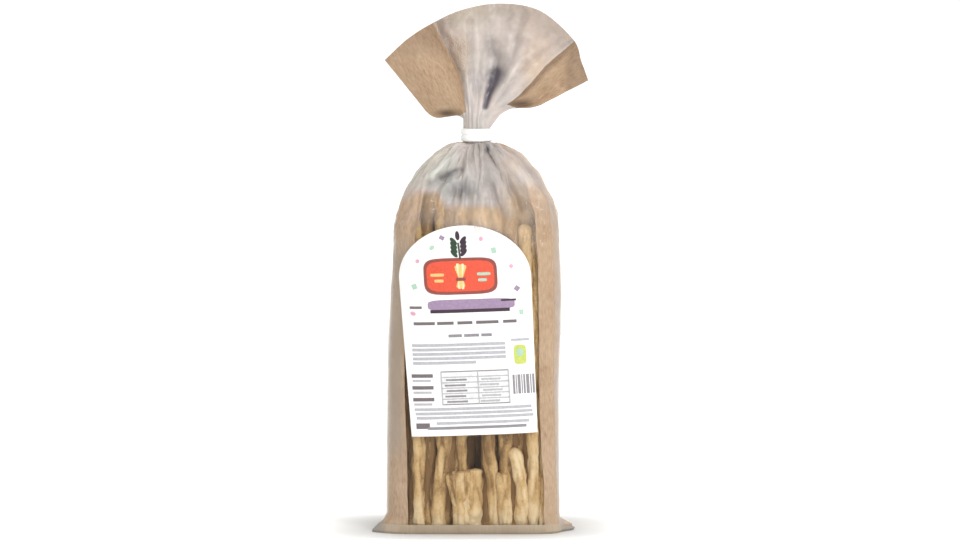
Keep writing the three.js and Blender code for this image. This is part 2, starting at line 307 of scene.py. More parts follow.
def thicken(piece: Object, thickness: float, offset: float) -> None:
    """Gives a sheet its thickness.

    Args:
        piece: The sheet.
        thickness: In millimetres.
        offset: -1 to grow inwards and 1 to grow outwards.
    """
    select_only(piece)
    modifier = piece.modifiers.new("Solidify", "SOLIDIFY")
    modifier.thickness = thickness * MM
    modifier.offset = offset
    bpy.ops.object.modifier_apply(modifier=modifier.name)


def dress(piece: Object, finish: Material, degrees: float) -> Object:
    """Gives a piece its finish and shades it smooth.

    Args:
        piece: The piece.
        finish: Its material.
        degrees: Edges that bend more than this stay sharp.

    Returns:
        The piece.
    """
    piece.data.materials.append(finish)
    select_only(piece)
    bpy.ops.object.shade_smooth_by_angle(angle=math.radians(degrees))
    return piece


def join(pieces: list[Object], name: str) -> Object:
    """Joins several pieces into one mesh.

    Args:
        pieces: The pieces, of which the first one stays.
        name: The joined piece's name.

    Returns:
        The joined piece.
    """
    select_only(pieces[0])
    for piece in pieces:
        piece.select_set(True)
    bpy.ops.object.join()
    pieces[0].name = name
    pieces[0].data.name = name
    return pieces[0]


def hand_in(piece: Object, slot: str, *nodes: str) -> None:
    """Lets a finished piece ride on the bag and stand for CAD nodes, and reports it.

    Args:
        piece: The piece.
        slot: Not used.
        *nodes: The CAD nodes that it replaces.
    """
    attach(piece, "root")
    if nodes:
        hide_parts(*nodes)
    LOG.info("%s: %d faces", piece.name, len(piece.data.polygons))


def sheet_from(name: str, points: np.ndarray, lengths: tuple[np.ndarray, np.ndarray]) -> Object:
    """Makes a sheet from a grid primitive by moving its vertices to rows of points.

    Args:
        name: The piece's name.
        points: Places in millimetres: rows up, columns across, then x, y and z.
        lengths: How far each column lies across the sheet and each row up it, in millimetres.

    Returns:
        The sheet, with a UV map in metres.
    """
    rows, columns = points.shape[:2]
    piece = made(name, bpy.ops.mesh.primitive_grid_add, x_subdivisions=columns - 1,
                 y_subdivisions=rows - 1, size=2)
    flat = corners(piece)
    column = np.rint((flat[:, 0] + 1) / 2 * (columns - 1)).astype(int)
    row = np.rint((flat[:, 1] + 1) / 2 * (rows - 1)).astype(int)
    place_corners(piece, points[row, column] * MM)
    uv = np.stack([lengths[0][column], lengths[1][row]], axis=1) * MM
    loops = np.empty(len(piece.data.loops), dtype=np.int32)
    piece.data.loops.foreach_get("vertex_index", loops)
    layer = piece.data.uv_layers.active or piece.data.uv_layers.new(name="UVMap")
    layer.data.foreach_set("uv", uv[loops].astype(np.float32).ravel())
    return piece


def paint(piece: Object, name: str, values: np.ndarray) -> None:
    """Stores one number for each vertex as a named attribute."""
    attribute = piece.data.attributes.new(name, "FLOAT", "POINT")
    attribute.data.foreach_set("value", values.astype(np.float32).ravel())


# ---- The bag's form -----------------------------------------------------------------------------


@dataclass(frozen=True)
class Rib:
    """A line of the wall above the tie: its share round one side, where it bends and where it ends."""

    share: float
    bend: tuple[float, float, float]
    mouth: tuple[float, float, float]


@dataclass(frozen=True)
class Fold:
    """A crease of the dome that runs down from the neck: its angle, drift, lowest rise, width and depth."""

    around: float
    drift: float
    low: float
    width: float
    depth: float


@dataclass(frozen=True)
class Crease:
    """A crease on the front along points of x and z; a depth below nothing makes it a ridge.

    Its shade is how dark the painted shade in it is, which goes with its depth unless it is given, and it
    comes in over a drop in height from its first point. Its tail is the share of its width at its last point.
    """

    path: tuple[Pair, ...]
    width: float
    depth: float
    given_shade: float | None = None
    comes_in: float = 12.0
    tail: float = 1.0

    @property
    def shade(self) -> float:
        """How dark the painted shade at the crease's bottom is, from 0 to 1."""
        return min(1.0, self.depth / 4.5) ** 1.5 if self.given_shade is None else self.given_shade

    @property
    def above_tie(self) -> bool:
        """Whether the crease is in the mouth."""
        return self.path[-1][1] > MOUTH_FROM_Z

    def distance(self, x: np.ndarray, z: np.ndarray) -> np.ndarray:
        """How far places lie from the crease in the front view, in millimetres.

        Args:
            x: Places to the right.
            z: Places upwards, in the same shape.

        Returns:
            Distances in the same shape.
        """
        nearest = np.full(x.shape, 1e9)
        for (x0, z0), (x1, z1) in zip(self.path, self.path[1:]):
            span = (x1 - x0) ** 2 + (z1 - z0) ** 2
            t = (((x - x0) * (x1 - x0) + (z - z0) * (z1 - z0)) / span).clip(0, 1)
            nearest = np.minimum(nearest, np.hypot(x - x0 - t * (x1 - x0), z - z0 - t * (z1 - z0)))
        return nearest

    def off(self, x: np.ndarray, z: np.ndarray) -> np.ndarray:
        """How far places lie from the crease, as a share of its width there."""
        top, bottom = self.path[0][1], self.path[-1][1]
        return self.distance(x, z) / (self.width * lerp(1, self.tail, smoothstep(top - z, 0, top - bottom)))

    def push(self, x: np.ndarray, z: np.ndarray) -> np.ndarray:
        """How far the crease pushes the wall in: a sharp valley between two soft lips.

        Args:
            x: Places to the right.
            z: Places upwards, in the same shape.

        Returns:
            Millimetres in the same shape.
        """
        off = self.off(x, z)
        valley = (1 - off).clip(0) ** 1.3
        return self.depth * (valley - 0.3 * bell(off, 1.25, 0.45))


@dataclass
class WallGrid:
    """The whole wall as rows and columns of places, which the paper and the film share.

    Rises come one to a row, shares and sides one to a column. Points and outwards have a place and a
    direction for each of both. Across and upwards are lengths on the sheet, in millimetres.
    """

    rises: np.ndarray
    shares: np.ndarray
    sides: np.ndarray
    points: np.ndarray
    outwards: np.ndarray
    across: np.ndarray
    upwards: np.ndarray


@dataclass
class BagForm:
    """The wall of the bag, from the bottom to the mouth's edge.

    A place on it is a share of the way from the left gusset's middle (-1) to the right one's (1), a
    side (-1 in front and 1 behind), and a rise: 0 to 1 up the body, to 2 over the shoulder, to 3 up the
    neck and to 4 up the mouth.
    """

    heights: tuple = (0, 1.5, 12, 45, 110, 165, 196)
    half_widths: tuple = (58.5, 60, 59, 59, 58.5, 58.8, 57.8)
    half_depths: tuple = (28, 29.5, 31.5, 34.5, 36, 35.5, 33.5)
    squareness: tuple = (9, 8, 5, 3.7, 3.2, 3, 2.8)
    shoulder_z: float = 196
    neck_z: float = 264
    tie_top_z: float = 274
    neck_radius: float = 9
    neck_shift: float = 2.5
    lean_from_z: float = 80
    gusset_valley: float = 3.2
    gusset_share: float = 0.13
    foot_ears: tuple = ((-0.77, 10, 11, 0.07, 1), (0.86, 9.5, 7, 0.07, 4))
    gusset_valley_from_z: float = 120
    ridge_height: float = 0.6
    ridge_pitch: float = 19
    ridge_span: tuple = ((6, 30), (190, 225))
    pleats: int = 18
    pleat_depth_shoulder: float = 2.4
    pleat_depth_neck: float = 0.9
    fan_rise: float = 9
    fan_flare: Pair = (10, 4)
    fan_rise_at: float = 0.12
    fan_bend_at: float = 0.42
    mouth_gap: float = 3.2
    fan_pleats: int = 7
    fan_pleat_depth: float = 1.7
    fan_softness: float = 0.07
    ribs: tuple = (
        Rib(-1, (-30, -3, 6), (-62, -9, 46)),
        Rib(-0.78, (-23.5, -9, 21), (-46, -16, 60.5)),
        Rib(-0.54, (-10.5, -3, 35), (-29.5, -1, 71)),
        Rib(-0.25, (-4, -6, 37), (-9, -8, 80)),
        Rib(0.1, (7, 3, 36), (17, 5, 84)),
        Rib(0.35, (20, -7, 32), (43, -9, 79)),
        Rib(0.56, (36, -8, 25.5), (65, -11, 60)),
        Rib(0.78, (38.5, 4, 18.5), (71, 3, 45)),
        Rib(1, (40, 3, 13.5), (76, 6, 32)),
    )
    creases: tuple = (
        Crease(((9.5, 342), (12.5, 328), (16.8, 319), (14.5, 309)), 6.4, 2.0, 0.5),
        Crease(((17.2, 321), (16.0, 312), (13.2, 303), (10.8, 297), (8.4, 288.5)), 9.4, 4.6, 1.4, 12.0, 0.34),
        Crease(((-1.5, 345), (0, 320), (0.8, 286)), 3.6, 2.2),
        Crease(((60, 337), (36, 318), (16, 292), (9, 282)), 4.0, 1.9),
        Crease(((33, 352), (27, 322), (13, 292)), 4.5, 1.7),
        Crease(((-25, 345), (-14, 318), (-4, 290)), 4.2, 2.0),
        Crease(((-8.5, 248.5), (-15, 244.5), (-21, 241)), 4.4, 3.6, 0.95, 3.0),
        Crease(((-20, 241.5), (-29, 237.5)), 4.6, 2.0, 0.6, 2.0),
        Crease(((-2, 262), (-7, 250), (-8, 236), (-12, 222)), 4.5, 1.2),
        Crease(((17, 260), (26, 250), (31, 244.5), (38, 237)), 3.4, -2.0),
        Crease(((11, 258), (21, 243), (29, 230), (32, 221)), 4.0, 2.4, 0.26),
        Crease(((20, 262), (38, 247), (49, 230)), 3.4, 1.7),
        Crease(((10, 246), (14, 230), (20, 218)), 5.0, 1.8, 0.36),
        Crease(((-14, 258), (-30, 247), (-42, 232), (-48, 214)), 4.2, 1.3),
        Crease(((-6, 259), (-20, 252), (-30, 242)), 3.2, -1.6),
    )
    hollow: tuple[float, float, float, float] = (-9.0, 233, 13.0, 3.2)
    seam_shares: Pair = (-0.53, 0.56)
    seam_drift: tuple = (
        (0, 0.0, 2.0), (35, -1.4, 2.9), (55, -2.2, 1.3), (75, -3.0, 0.3), (105, -5.0, -0.5),
        (130, -5.6, -1.2), (165, -4.0, -2.6), (205, -1.5, -2.2), (240, 0.0, 0.0), (285, 0.0, 0.0),
        (306, 0.0, -5.4), (330, 0.0, -4.6), (360, 0.0, -0.6),
    )
    mouth_drift_reach: float = 100
    seam_drift_reach: float = 0.3
    half_girth: float = 88.0
    gusset_crease: float = 0.8
    gusset_crease_share: float = 0.014
    body_crinkles: Pair = (0.5, 0.75)
    dome_crinkles: Pair = (3.4, 1.1)
    mouth_crinkle: float = 0.7
    mouth_sway: Pair = (2.4, 1.2)
    front_columns: int = 250
    back_columns: int = 120
    rows: tuple[int, int, int, int] = (46, 66, 8, 64)
    lowest_rise: float = 0.002
    dome_noise_radius: float = 55
    dome_noise_stretch: float = 0.38
    slack_on_paper: float = 0.4
    fold_count: int = 30
    folds: list = field(default_factory=list)

    def __post_init__(self) -> None:
        """Lays the creases of the dome round the bag, uneven but the same each time."""
        draw = random.Random(11)
        for i in range(self.fold_count):
            self.folds.append(Fold(
                around=2 * math.pi * (i + draw.uniform(-0.35, 0.35)) / self.fold_count,
                drift=draw.uniform(-0.2, 0.2),
                low=draw.uniform(0.0, 0.5),
                width=draw.uniform(0.07, 0.17),
                depth=draw.uniform(0.6, 2.5),
            ))

    def drifted(self, shares: np.ndarray, sides: np.ndarray, rise: float) -> np.ndarray:
        """Shares at a rise once the film's two seams have strayed to the left or the right.

        Args:
            shares: From -1 to 1, as they are at the bottom of the bag.
            sides: -1 in front and 1 behind.
            rise: From 0 to 4.

        Returns:
            The shares to use at that rise.
        """
        z = self.section(min(rise, 2))[0] + self.mouth_drift_reach * max(0.0, rise - 3)
        heights, *drifts = zip(*self.seam_drift)
        moved = shares.copy()
        for seam, drift in zip(self.seam_shares, drifts):
            near = (1 - np.abs(shares - seam) / self.seam_drift_reach).clip(0)
            moved += (sides < 0) * near * np.interp(z, heights, drift) / self.half_girth
        return moved

    def lean(self, z: np.ndarray | float) -> np.ndarray | float:
        """How far the section's middle has moved to +X at a height."""
        return self.neck_shift * smoothstep(z, self.lean_from_z, self.shoulder_z)

    def section(self, rise: float) -> tuple[float, float, float, float]:
        """The section below the tie.

        Args:
            rise: From 0 at the bottom to 2 at the neck.

        Returns:
            Its height, half width, half depth and squareness.
        """
        if rise <= 1:
            z = self.shoulder_z * rise
            table = (self.half_widths, self.half_depths, self.squareness)
            return (z, *(float(np.interp(z, self.heights, values)) for values in table))
        angle = (rise - 1) * math.pi / 2
        out = math.cos(angle)
        return (
            lerp(self.shoulder_z, self.neck_z, math.sin(angle)),
            lerp(self.neck_radius, self.half_widths[-1], out),
            lerp(self.neck_radius, self.half_depths[-1], out),
            lerp(self.squareness[-1], 2, rise - 1),
        )

    def front_wall(self, x: np.ndarray, z: np.ndarray) -> np.ndarray:
        """Places on the bag's front without its ridges, pleats and creases, by the front view.

        Args:
            x: Places to the right, in millimetres.
            z: Places upwards, in the same shape.

        Returns:
            Places in millimetres: x, y and z last.
        """
        above = ((z - self.shoulder_z) / (self.neck_z - self.shoulder_z)).clip(0, 1)
        rise = np.where(z <= self.shoulder_z, z / self.shoulder_z, 1 + np.arcsin(above) * 2 / np.pi)
        sections = np.array([self.section(float(r)) for r in rise.ravel()]).reshape(*rise.shape, 4)
        across = (np.abs(x - self.lean(z)) / sections[..., 1]).clip(0, 0.98)
        power = sections[..., 3]
        depth = sections[..., 2] * (1 - across**power) ** (1 / power)
        return np.stack([x, -depth, z], axis=-1)

    def half_section(self, section: tuple, shares: np.ndarray) -> tuple[np.ndarray, np.ndarray]:
        """Points of half a rounded section, a share of its length each from the left to the right.

        Args:
            section: Its height, half width, half depth and squareness.
            shares: From -1 at the left gusset's middle to 1 at the right one's.

        Returns:
            How far each point lies to the right, and how far out to its side.
        """
        _, half_width, half_depth, squareness = section
        turn = np.pi * (1 - np.linspace(0, 1, 401))
        power = 2 / squareness
        x = half_width * np.sign(np.cos(turn)) * np.abs(np.cos(turn)) ** power
        y = half_depth * np.abs(np.sin(turn)) ** power
        reached = np.concatenate([[0], np.cumsum(np.hypot(np.diff(x), np.diff(y)))])
        at = (shares + 1) / 2 * reached[-1]
        return np.interp(at, reached, x), np.interp(at, reached, y)

    def pleat_wave(self, shares: np.ndarray, sides: np.ndarray) -> np.ndarray:
        """The gathers at the neck.

        Args:
            shares: From -1 to 1.
            sides: -1 in front and 1 behind.

        Returns:
            0 on a ridge and 1 in a valley.
        """
        around = (sides * shares + 1) / 4 + np.where(sides > 0, 0.5, 0.0)
        drift = 0.35 * np.sin(2 * np.pi * 3 * around) + 0.2 * np.sin(2 * np.pi * 5 * around)
        return fold_wave(self.pleats * around + drift)

    def ridge(self, x: np.ndarray, z: float, half_width: float) -> np.ndarray:
        """Soft ridges of the sticks behind the wall.

        Args:
            x: Places to the right, in millimetres.
            z: Their height.
            half_width: The section's half width there.

        Returns:
            Millimetres outwards.
        """
        inside = 1 - smoothstep(np.abs(x) / half_width, 0.7, 0.9)
        along = between(z, *self.ridge_span)
        wave = np.cos(2 * np.pi * (x + 3 * math.sin(z / 45)) / self.ridge_pitch)
        return self.ridge_height * inside * along * wave

    def body_row(self, rise: float, shares: np.ndarray, sides: np.ndarray) -> np.ndarray:
        """One row of places below the tie.

        Args:
            rise: From 0 to 2.
            shares: From -1 to 1, one for each place.
            sides: -1 in front and 1 behind, one for each place.

        Returns:
            Places in millimetres.
        """
        section = self.section(rise)
        z, half_width, _, _ = section
        up = max(0.0, rise - 1)
        x, y = self.half_section(section, shares)
        depth = smoothstep(up, 0.1, 0.7)
        depth *= lerp(self.pleat_depth_shoulder, self.pleat_depth_neck, smoothstep(up, 0.7, 1))
        inwards = 1 - depth * self.pleat_wave(shares, sides) / np.hypot(x, y)
        body = smoothstep(z, self.gusset_valley_from_z, self.shoulder_z + 20) * (1 - smoothstep(up, 0.6, 1))
        valley = self.gusset_valley * body * bell(np.abs(shares), 1, self.gusset_share)
        ears = (sides < 0) * sum(
            math.copysign(out, at) * max(0.0, 1 - (z / high) ** power) * bell(shares, at, width)
            for at, out, high, width, power in self.foot_ears)
        places = np.empty((len(shares), 3))
        places[:, 0] = x * inwards - np.sign(shares) * valley + ears + self.lean(z)
        places[:, 1] = sides * (y * inwards + self.ridge(x, z, half_width))
        places[:, 2] = z
        return places

    def rib_curve(self, key: str, shares: np.ndarray) -> np.ndarray:
        """Places on a smooth curve through the ribs' bends or mouths.

        Args:
            key: "bend" or "mouth".
            shares: From -1 to 1.

        Returns:
            One place for each share, from the middle of the neck at the tie's upper edge.
        """
        at = np.array([rib.share for rib in self.ribs])
        value = np.array([getattr(rib, key) for rib in self.ribs], float)
        last = len(at) - 1
        slope = np.empty_like(value)
        for i in range(last + 1):
            low, high = max(0, i - 1), min(last, i + 1)
            slope[i] = (value[high] - value[low]) / (at[high] - at[low])
        i = np.clip(np.searchsorted(at, shares) - 1, 0, last - 1)
        span = at[i + 1] - at[i]
        t = ((shares - at[i]) / span)[:, None]
        span = span[:, None]
        start = value[i] * (2 * t**3 - 3 * t**2 + 1) + slope[i] * span * (t**3 - 2 * t**2 + t)
        end = value[i + 1] * (-2 * t**3 + 3 * t**2) + slope[i + 1] * span * (t**3 - t**2)
        return start + end

    def fan_row(self, along: float, shares: np.ndarray, sides: np.ndarray) -> np.ndarray:
        """One row of places above the tie.

        Args:
            along: From 0 at the tie to 1 at the mouth's edge.
            shares: From -1 to 1, one for each place.
            sides: -1 in front and 1 behind, one for each place.

        Returns:
            Places in millimetres.
        """
        spread = smoothstep(along, self.fan_rise_at * 0.5, self.fan_bend_at)
        turn = shares * np.pi / 2
        pleat = self.pleat_depth_neck * (1 - spread) * self.pleat_wave(shares, sides)
        radius = self.neck_radius - pleat
        foot = np.stack([radius * np.sin(turn), 0 * turn, 0 * turn], axis=1)
        across, up = self.fan_flare
        flare = smoothstep(shares, 0.3, 1)[:, None] * np.array([across, 0, up])
        rise = foot + np.array([0, 0, self.fan_rise]) + flare
        knots = (0, self.fan_rise_at, self.fan_bend_at, 1)
        lines = (foot, rise, self.rib_curve("bend", shares), self.rib_curve("mouth", shares))
        soft = self.fan_softness * min(1.0, along / 0.12, (1 - along) / 0.12)
        places = np.zeros_like(foot)
        for t in np.linspace(along - soft, along + soft, 5):
            i = int(np.clip(np.searchsorted(knots, t) - 1, 0, 2))
            share = (t - knots[i]) / (knots[i + 1] - knots[i])
            places += (lines[i] + (lines[i + 1] - lines[i]) * share) / 5
        edge = 1 - np.abs(shares) ** 6
        gap = lerp(radius * np.cos(turn), self.mouth_gap / 2 * np.cos(turn).clip(0) ** 0.5, spread)
        depth = self.fan_pleat_depth * spread * (1 - 0.7 * smoothstep(along, self.fan_bend_at, 1))
        wave = fold_wave(self.fan_pleats * (shares + 1) / 2) - 0.5
        places[:, 1] += sides * gap + depth * edge * wave
        return places + np.array([self.neck_shift, 0, self.tie_top_z])

    def row(self, rise: float, shares: np.ndarray, sides: np.ndarray) -> np.ndarray:
        """One row of places on the wall.

        Args:
            rise: From 0 to 4.
            shares: From -1 to 1, one for each place.
            sides: -1 in front and 1 behind, one for each place.

        Returns:
            Places in millimetres.
        """
        if rise <= 2:
            return self.body_row(rise, shares, sides)
        if rise >= 3:
            return self.fan_row(rise - 3, shares, sides)
        low = self.body_row(2, shares, sides)
        high = self.fan_row(0, shares, sides)
        return low + (high - low) * (rise - 2)

    def fold_depth(self, rises: np.ndarray, around: np.ndarray) -> np.ndarray:
        """How deep the folds round the dome are, in millimetres.

        Args:
            rises: From 0 to 4, one for each row.
            around: The angle round the bag, one for each column.

        Returns:
            Depths with a row for each rise and a column for each angle.
        """
        up = np.clip(rises - 1, 0, 1)[:, None]
        depth = np.zeros((len(rises), len(around)))
        for fold in self.folds:
            centre = fold.around + fold.drift * (1 - up)
            off = (around[None, :] - centre + np.pi) % (2 * np.pi) - np.pi
            valley = (1 - np.abs(off) / fold.width).clip(0) ** 1.4
            grown = smoothstep(up, fold.low, fold.low + 0.4) * (1 - 0.85 * smoothstep(up, 0.78, 1.0))
            depth += fold.depth * valley * grown
        return depth * (rises[:, None] <= 2)

    def wall(self) -> WallGrid:
        """The whole wall with its folds, creases and crinkles, closed all round.

        Returns:
            Its places, with what is known of each row and column.
        """
        front = np.linspace(-1, 1, self.front_columns + 1)
        back = np.linspace(1, -1, self.back_columns + 1)[1:-1]
        shares = np.concatenate([front, back])
        sides = np.concatenate([np.full(len(front), -1.0), np.full(len(back), 1.0)])
        parts = [np.linspace(max(low, self.lowest_rise), low + 1, count + 1)[:-1]
                 for low, count in enumerate(self.rows)]
        rises = np.concatenate([*parts, [4]])
        base = np.stack([self.row(float(rise), self.drifted(shares, sides, rise), sides) for rise in rises])
        closed = np.concatenate([base[:, -1:], base, base[:, :1]], axis=1)
        outwards = np.cross(np.gradient(closed, axis=1)[:, 1:-1], np.gradient(base, axis=0))
        outwards /= np.linalg.norm(outwards, axis=2, keepdims=True) + 1e-9
        around = np.where(sides < 0, np.pi * (1 + shares) / 2, np.pi * (3 - shares) / 2)
        middle = closed[self.rows[0] // 2]
        across = np.cumsum(np.linalg.norm(np.diff(middle, axis=0), axis=1))[:-1]
        centre = base[:, self.front_columns // 2]
        upwards = np.concatenate([[0], np.cumsum(np.linalg.norm(np.diff(centre, axis=0), axis=1))])
        plain = WallGrid(rises, shares, sides, base, outwards, across, upwards)
        points = base + outwards * self.crinkles(plain, around)[:, :, None]
        points[:, :, 1] += self.sway(plain)
        return replace(plain, points=points)

    def crinkles(self, plain: WallGrid, around: np.ndarray) -> np.ndarray:
        """How far each place of the wall moves out from its plain form.

        Args:
            plain: The wall without crinkles.
            around: The angle round the bag, one for each column.

        Returns:
            Millimetres outwards, with a row for each rise and a column for each share.
        """
        base, rises, shares, sides = plain.points, plain.rises, plain.shares, plain.sides
        film = (sides < 0) * (1 - smoothstep(np.abs(shares), 0.5, 0.72))
        slack = lerp(self.slack_on_paper, 1.0, film)[None, :]
        low = smoothstep(rises, 0.0, 0.08)[:, None]
        dome = between(rises, (0.85, 1.25), (1.8, 2.0))[:, None]
        mouth = smoothstep(rises, 3.15, 3.45)[:, None]
        body = low * (1 - smoothstep(rises, 1.0, 1.3))[:, None]
        level = 0 * rises[:, None]
        turn = np.stack([
            np.cos(around)[None, :] * self.dome_noise_radius + level,
            np.sin(around)[None, :] * self.dome_noise_radius + level,
            self.dome_noise_stretch * plain.upwards[:, None] + 0 * around[None, :]], axis=2)
        long_facets = crinkle_noise(turn, 15, 3) + 0.5 * crinkle_noise(turn, 7, 6)
        facets = crinkle_noise(base, 16, 11) + 0.45 * crinkle_noise(base, 7, 14)
        broad = field_noise(base, 30, 21)
        swell, body_facet = self.body_crinkles
        gather, dome_facet = self.dome_crinkles
        move = body * slack * (swell * broad + body_facet * facets)
        move += dome * lerp(0.6, 1.0, slack) * (gather * long_facets + dome_facet * facets)
        move += mouth * slack * self.mouth_crinkle * facets
        move -= self.fold_depth(rises, around) * lerp(0.7, 1.0, slack)
        move -= body * self.gusset_crease * bell(np.abs(shares), 1, self.gusset_crease_share)
        ahead = (sides < 0)[None, :] * low
        x, z = base[:, :, 0], base[:, :, 2]
        for crease in self.creases:
            if not crease.above_tie:
                move -= ahead * crease.push(x, z)
        hollow_x, hollow_z, size, depth = self.hollow
        move -= ahead * depth * np.exp(-((x - hollow_x) ** 2 + (z - hollow_z) ** 2) / size**2)
        return move

    def sway(self, plain: WallGrid) -> np.ndarray:
        """How far both layers of the mouth move back together in its creases.

        Args:
            plain: The wall without crinkles.

        Returns:
            Millimetres along Y for each place.
        """
        base = plain.points
        mouth = smoothstep(plain.rises, 3.1, 3.4)[:, None]
        long_sway, short_sway = self.mouth_sway
        back = long_sway * crinkle_noise(base * np.array([1, 0, 0.45]), 17, 51)
        back += short_sway * crinkle_noise(base * np.array([1, 0, 1]), 8, 54)
        for crease in self.creases:
            if crease.above_tie:
                back += crease.push(base[:, :, 0], base[:, :, 2])
        return mouth * back


# ---- Finishes -----------------------------------------------------------------------------------


@dataclass(frozen=True)
class KraftPaper:
    """Brown kraft paper: matte, with pressed fibres, faint ribs from the machine and painted shade in its
    folds.
    """

    name: str = "kraft_paper"
    base: str = "AB9074"
    dark: str = "98795D"
    pale: str = "BAA085"
    painted_shade: str = "4A362A"
    roughness: float = 0.82
    fibre_mm: float = 1.1
    fibre_stretch: float = 0.22
    cloud_mm: float = 28
    rib_mm: float = 1.6

    def material(self) -> Material:
        """Builds the material.

        Returns:
            The finish, ready for a piece.
        """
        recipe = Recipe(self.name)
        stretched = recipe.mapped(recipe.on_sheet, (1, self.fibre_stretch, 1))
        fibre = recipe.noise(stretched, self.fibre_mm, 5, 0.65)
        cloud = recipe.noise(recipe.in_space, self.cloud_mm, 3)
        mixed = recipe.calculate("MULTIPLY_ADD", cloud, 0.45, fibre)
        half = recipe.calculate("MULTIPLY", mixed, 0.69)
        bare = recipe.ramp(half, (0.36, self.dark), (0.5, self.base), (0.66, self.pale))
        # Painted shade, stored with the mesh, darkens the paper towards its painted_shade colour.
        colour = recipe.blend(recipe.stored("painted_shade"), bare, linear(self.painted_shade))
        ribs = add_node(recipe.tree, "ShaderNodeTexWave", {
            "Vector": recipe.on_sheet, "Scale": 1 / (self.rib_mm * MM) / 6.3, "Distortion": 1.2,
            "Detail": 1, "Detail Scale": 60}, wave_type="BANDS", bands_direction="Y")
        relief = recipe.calculate("MULTIPLY_ADD", ribs.outputs["Fac"], 0.25, fibre)
        bump = recipe.bump(relief, 0.25, 0.12)
        return recipe.finished(recipe.surface(colour, self.roughness, Normal=bump))


@dataclass(frozen=True)
class WindowFilm:
    """Clear polypropylene film: glossy, crinkled and slightly milky, more so where it is gathered.

    Three numbers come with the mesh: haze_and_sheen, how milky it is with painted sheen, painted_shade,
    how far painted shade darkens it, and warmth, how much brown paper shines through it from behind.
    """

    cool: str = "E2E2D9"
    milk: str = "E6DCD7"
    warm: str = "E3C6A6"
    # The colour that painted shade darkens the milk towards.
    deep: str = "5C5860"
    gloss: str = "FFFFFF"
    face_mirror: float = 0.012
    edge_power: float = 5.0
    roughness: float = 0.13
    milk_roughness: float = 0.3
    crinkle_mm: float = 5.0
    cloud_mm: float = 9.0

    def material(self) -> Material:
        """Builds the material.

        Returns:
            The finish, ready for a piece.
        """
        recipe = Recipe("window_film")
        crinkle = recipe.noise(
            recipe.on_sheet, self.crinkle_mm, 3, 0.55, 0.4, noise_type="RIDGED_MULTIFRACTAL")
        bump = recipe.bump(crinkle, 0.35, 0.35)
        cloud = recipe.noise(recipe.on_sheet, self.cloud_mm, 4, 0.6)
        veil = recipe.calculate("MULTIPLY_ADD", cloud, 0.6, 0.7)
        share = recipe.calculate("MULTIPLY", recipe.stored("haze_and_sheen"), veil, use_clamp=True)
        clear = add_node(recipe.tree, "ShaderNodeBsdfTransparent", {"Color": (1, 1, 1, 1)})
        shine = add_node(recipe.tree, "ShaderNodeBsdfGlossy", {
            "Color": linear(self.gloss), "Roughness": self.roughness, "Normal": bump})
        facing = add_node(recipe.tree, "ShaderNodeLayerWeight", {"Blend": 0.5, "Normal": bump})
        steep = recipe.calculate("POWER", facing.outputs["Facing"], self.edge_power)
        mirror = recipe.calculate("MULTIPLY_ADD", steep, 1 - self.face_mirror, self.face_mirror)
        skin = recipe.mix(mirror, clear.outputs[0], shine.outputs[0])
        tint = recipe.ramp(recipe.stored("warmth"), (0.0, self.cool), (0.5, self.milk), (1.0, self.warm))
        colour = recipe.blend(recipe.stored("painted_shade"), tint, linear(self.deep))
        milk = recipe.surface(colour, self.milk_roughness, Normal=bump)
        return recipe.finished(recipe.mix(share, skin, milk))


@dataclass(frozen=True)
class BakedCrust:
    """Baked dough: pale and floury on the stretched faces, golden on the swells, brown where it caught."""

    floury: str = "D9C29A"
    golden: str = "BE9C68"
    brown: str = "7C5C34"
    roughness: float = 0.78
    streak_mm: float = 3.0
    streak_stretch: float = 0.32
    crumb_mm: float = 1.3

    def material(self) -> Material:
        """Builds the material.

        Returns:
            The finish, ready for a piece.
        """
        recipe = Recipe("baked_crust")
        stretched = recipe.mapped(recipe.in_space, (1, 1, self.streak_stretch))
        streak = recipe.noise(stretched, self.streak_mm, 4, 0.6)
        crumb = recipe.noise(recipe.in_space, self.crumb_mm, 6, 0.7)
        # The stored browning also carries painted shade and light: browner sticks set back, paler feet.
        toasted = recipe.calculate("MULTIPLY_ADD", streak, 0.38, recipe.stored("toast_and_shade"))
        speckled = recipe.calculate("MULTIPLY_ADD", crumb, 0.54, toasted)
        colour = recipe.ramp(speckled, (0.42, self.floury), (0.74, self.golden), (1.0, self.brown))
        bump = recipe.bump(crumb, 0.8, 0.8)
        return recipe.finished(recipe.surface(colour, self.roughness, Normal=bump))


@dataclass(frozen=True)
class CoatedPaper:
    """Coated white paper, smooth with a slight shine and a faint cockle."""

    name: str
    base: str = "F4F2F0"
    shade: str = "EAE7E6"
    roughness: float = 0.42
    cockle_mm: float = 9.0
    fibre_mm: float = 0.9

    def material(self) -> Material:
        """Builds the material.

        Returns:
            The finish, ready for a piece.
        """
        recipe = Recipe(self.name)
        cloud = recipe.noise(recipe.in_space, self.cockle_mm, 3)
        colour = recipe.ramp(cloud, (0.35, self.shade), (0.6, self.base))
        bump = recipe.bump(recipe.noise(recipe.in_space, self.fibre_mm, 3), 0.08, 0.1)
        return recipe.finished(recipe.surface(colour, self.roughness, Normal=bump))


# ---- The bag's walls ----------------------------------------------------------------------------


@dataclass(frozen=True)
class Spot:
    """A soft oval spot in the front view: its middle, half width, half height and strength."""

    x: float
    z: float
    wide: float
    high: float
    strength: float = 1.0

    def at(self, x: np.ndarray, z: np.ndarray) -> np.ndarray:
        """How strong it is at places: its whole strength in the middle and nothing far from it."""
        return self.strength * np.exp(-(((x - self.x) / self.wide) ** 2 + ((z - self.z) / self.high) ** 2))


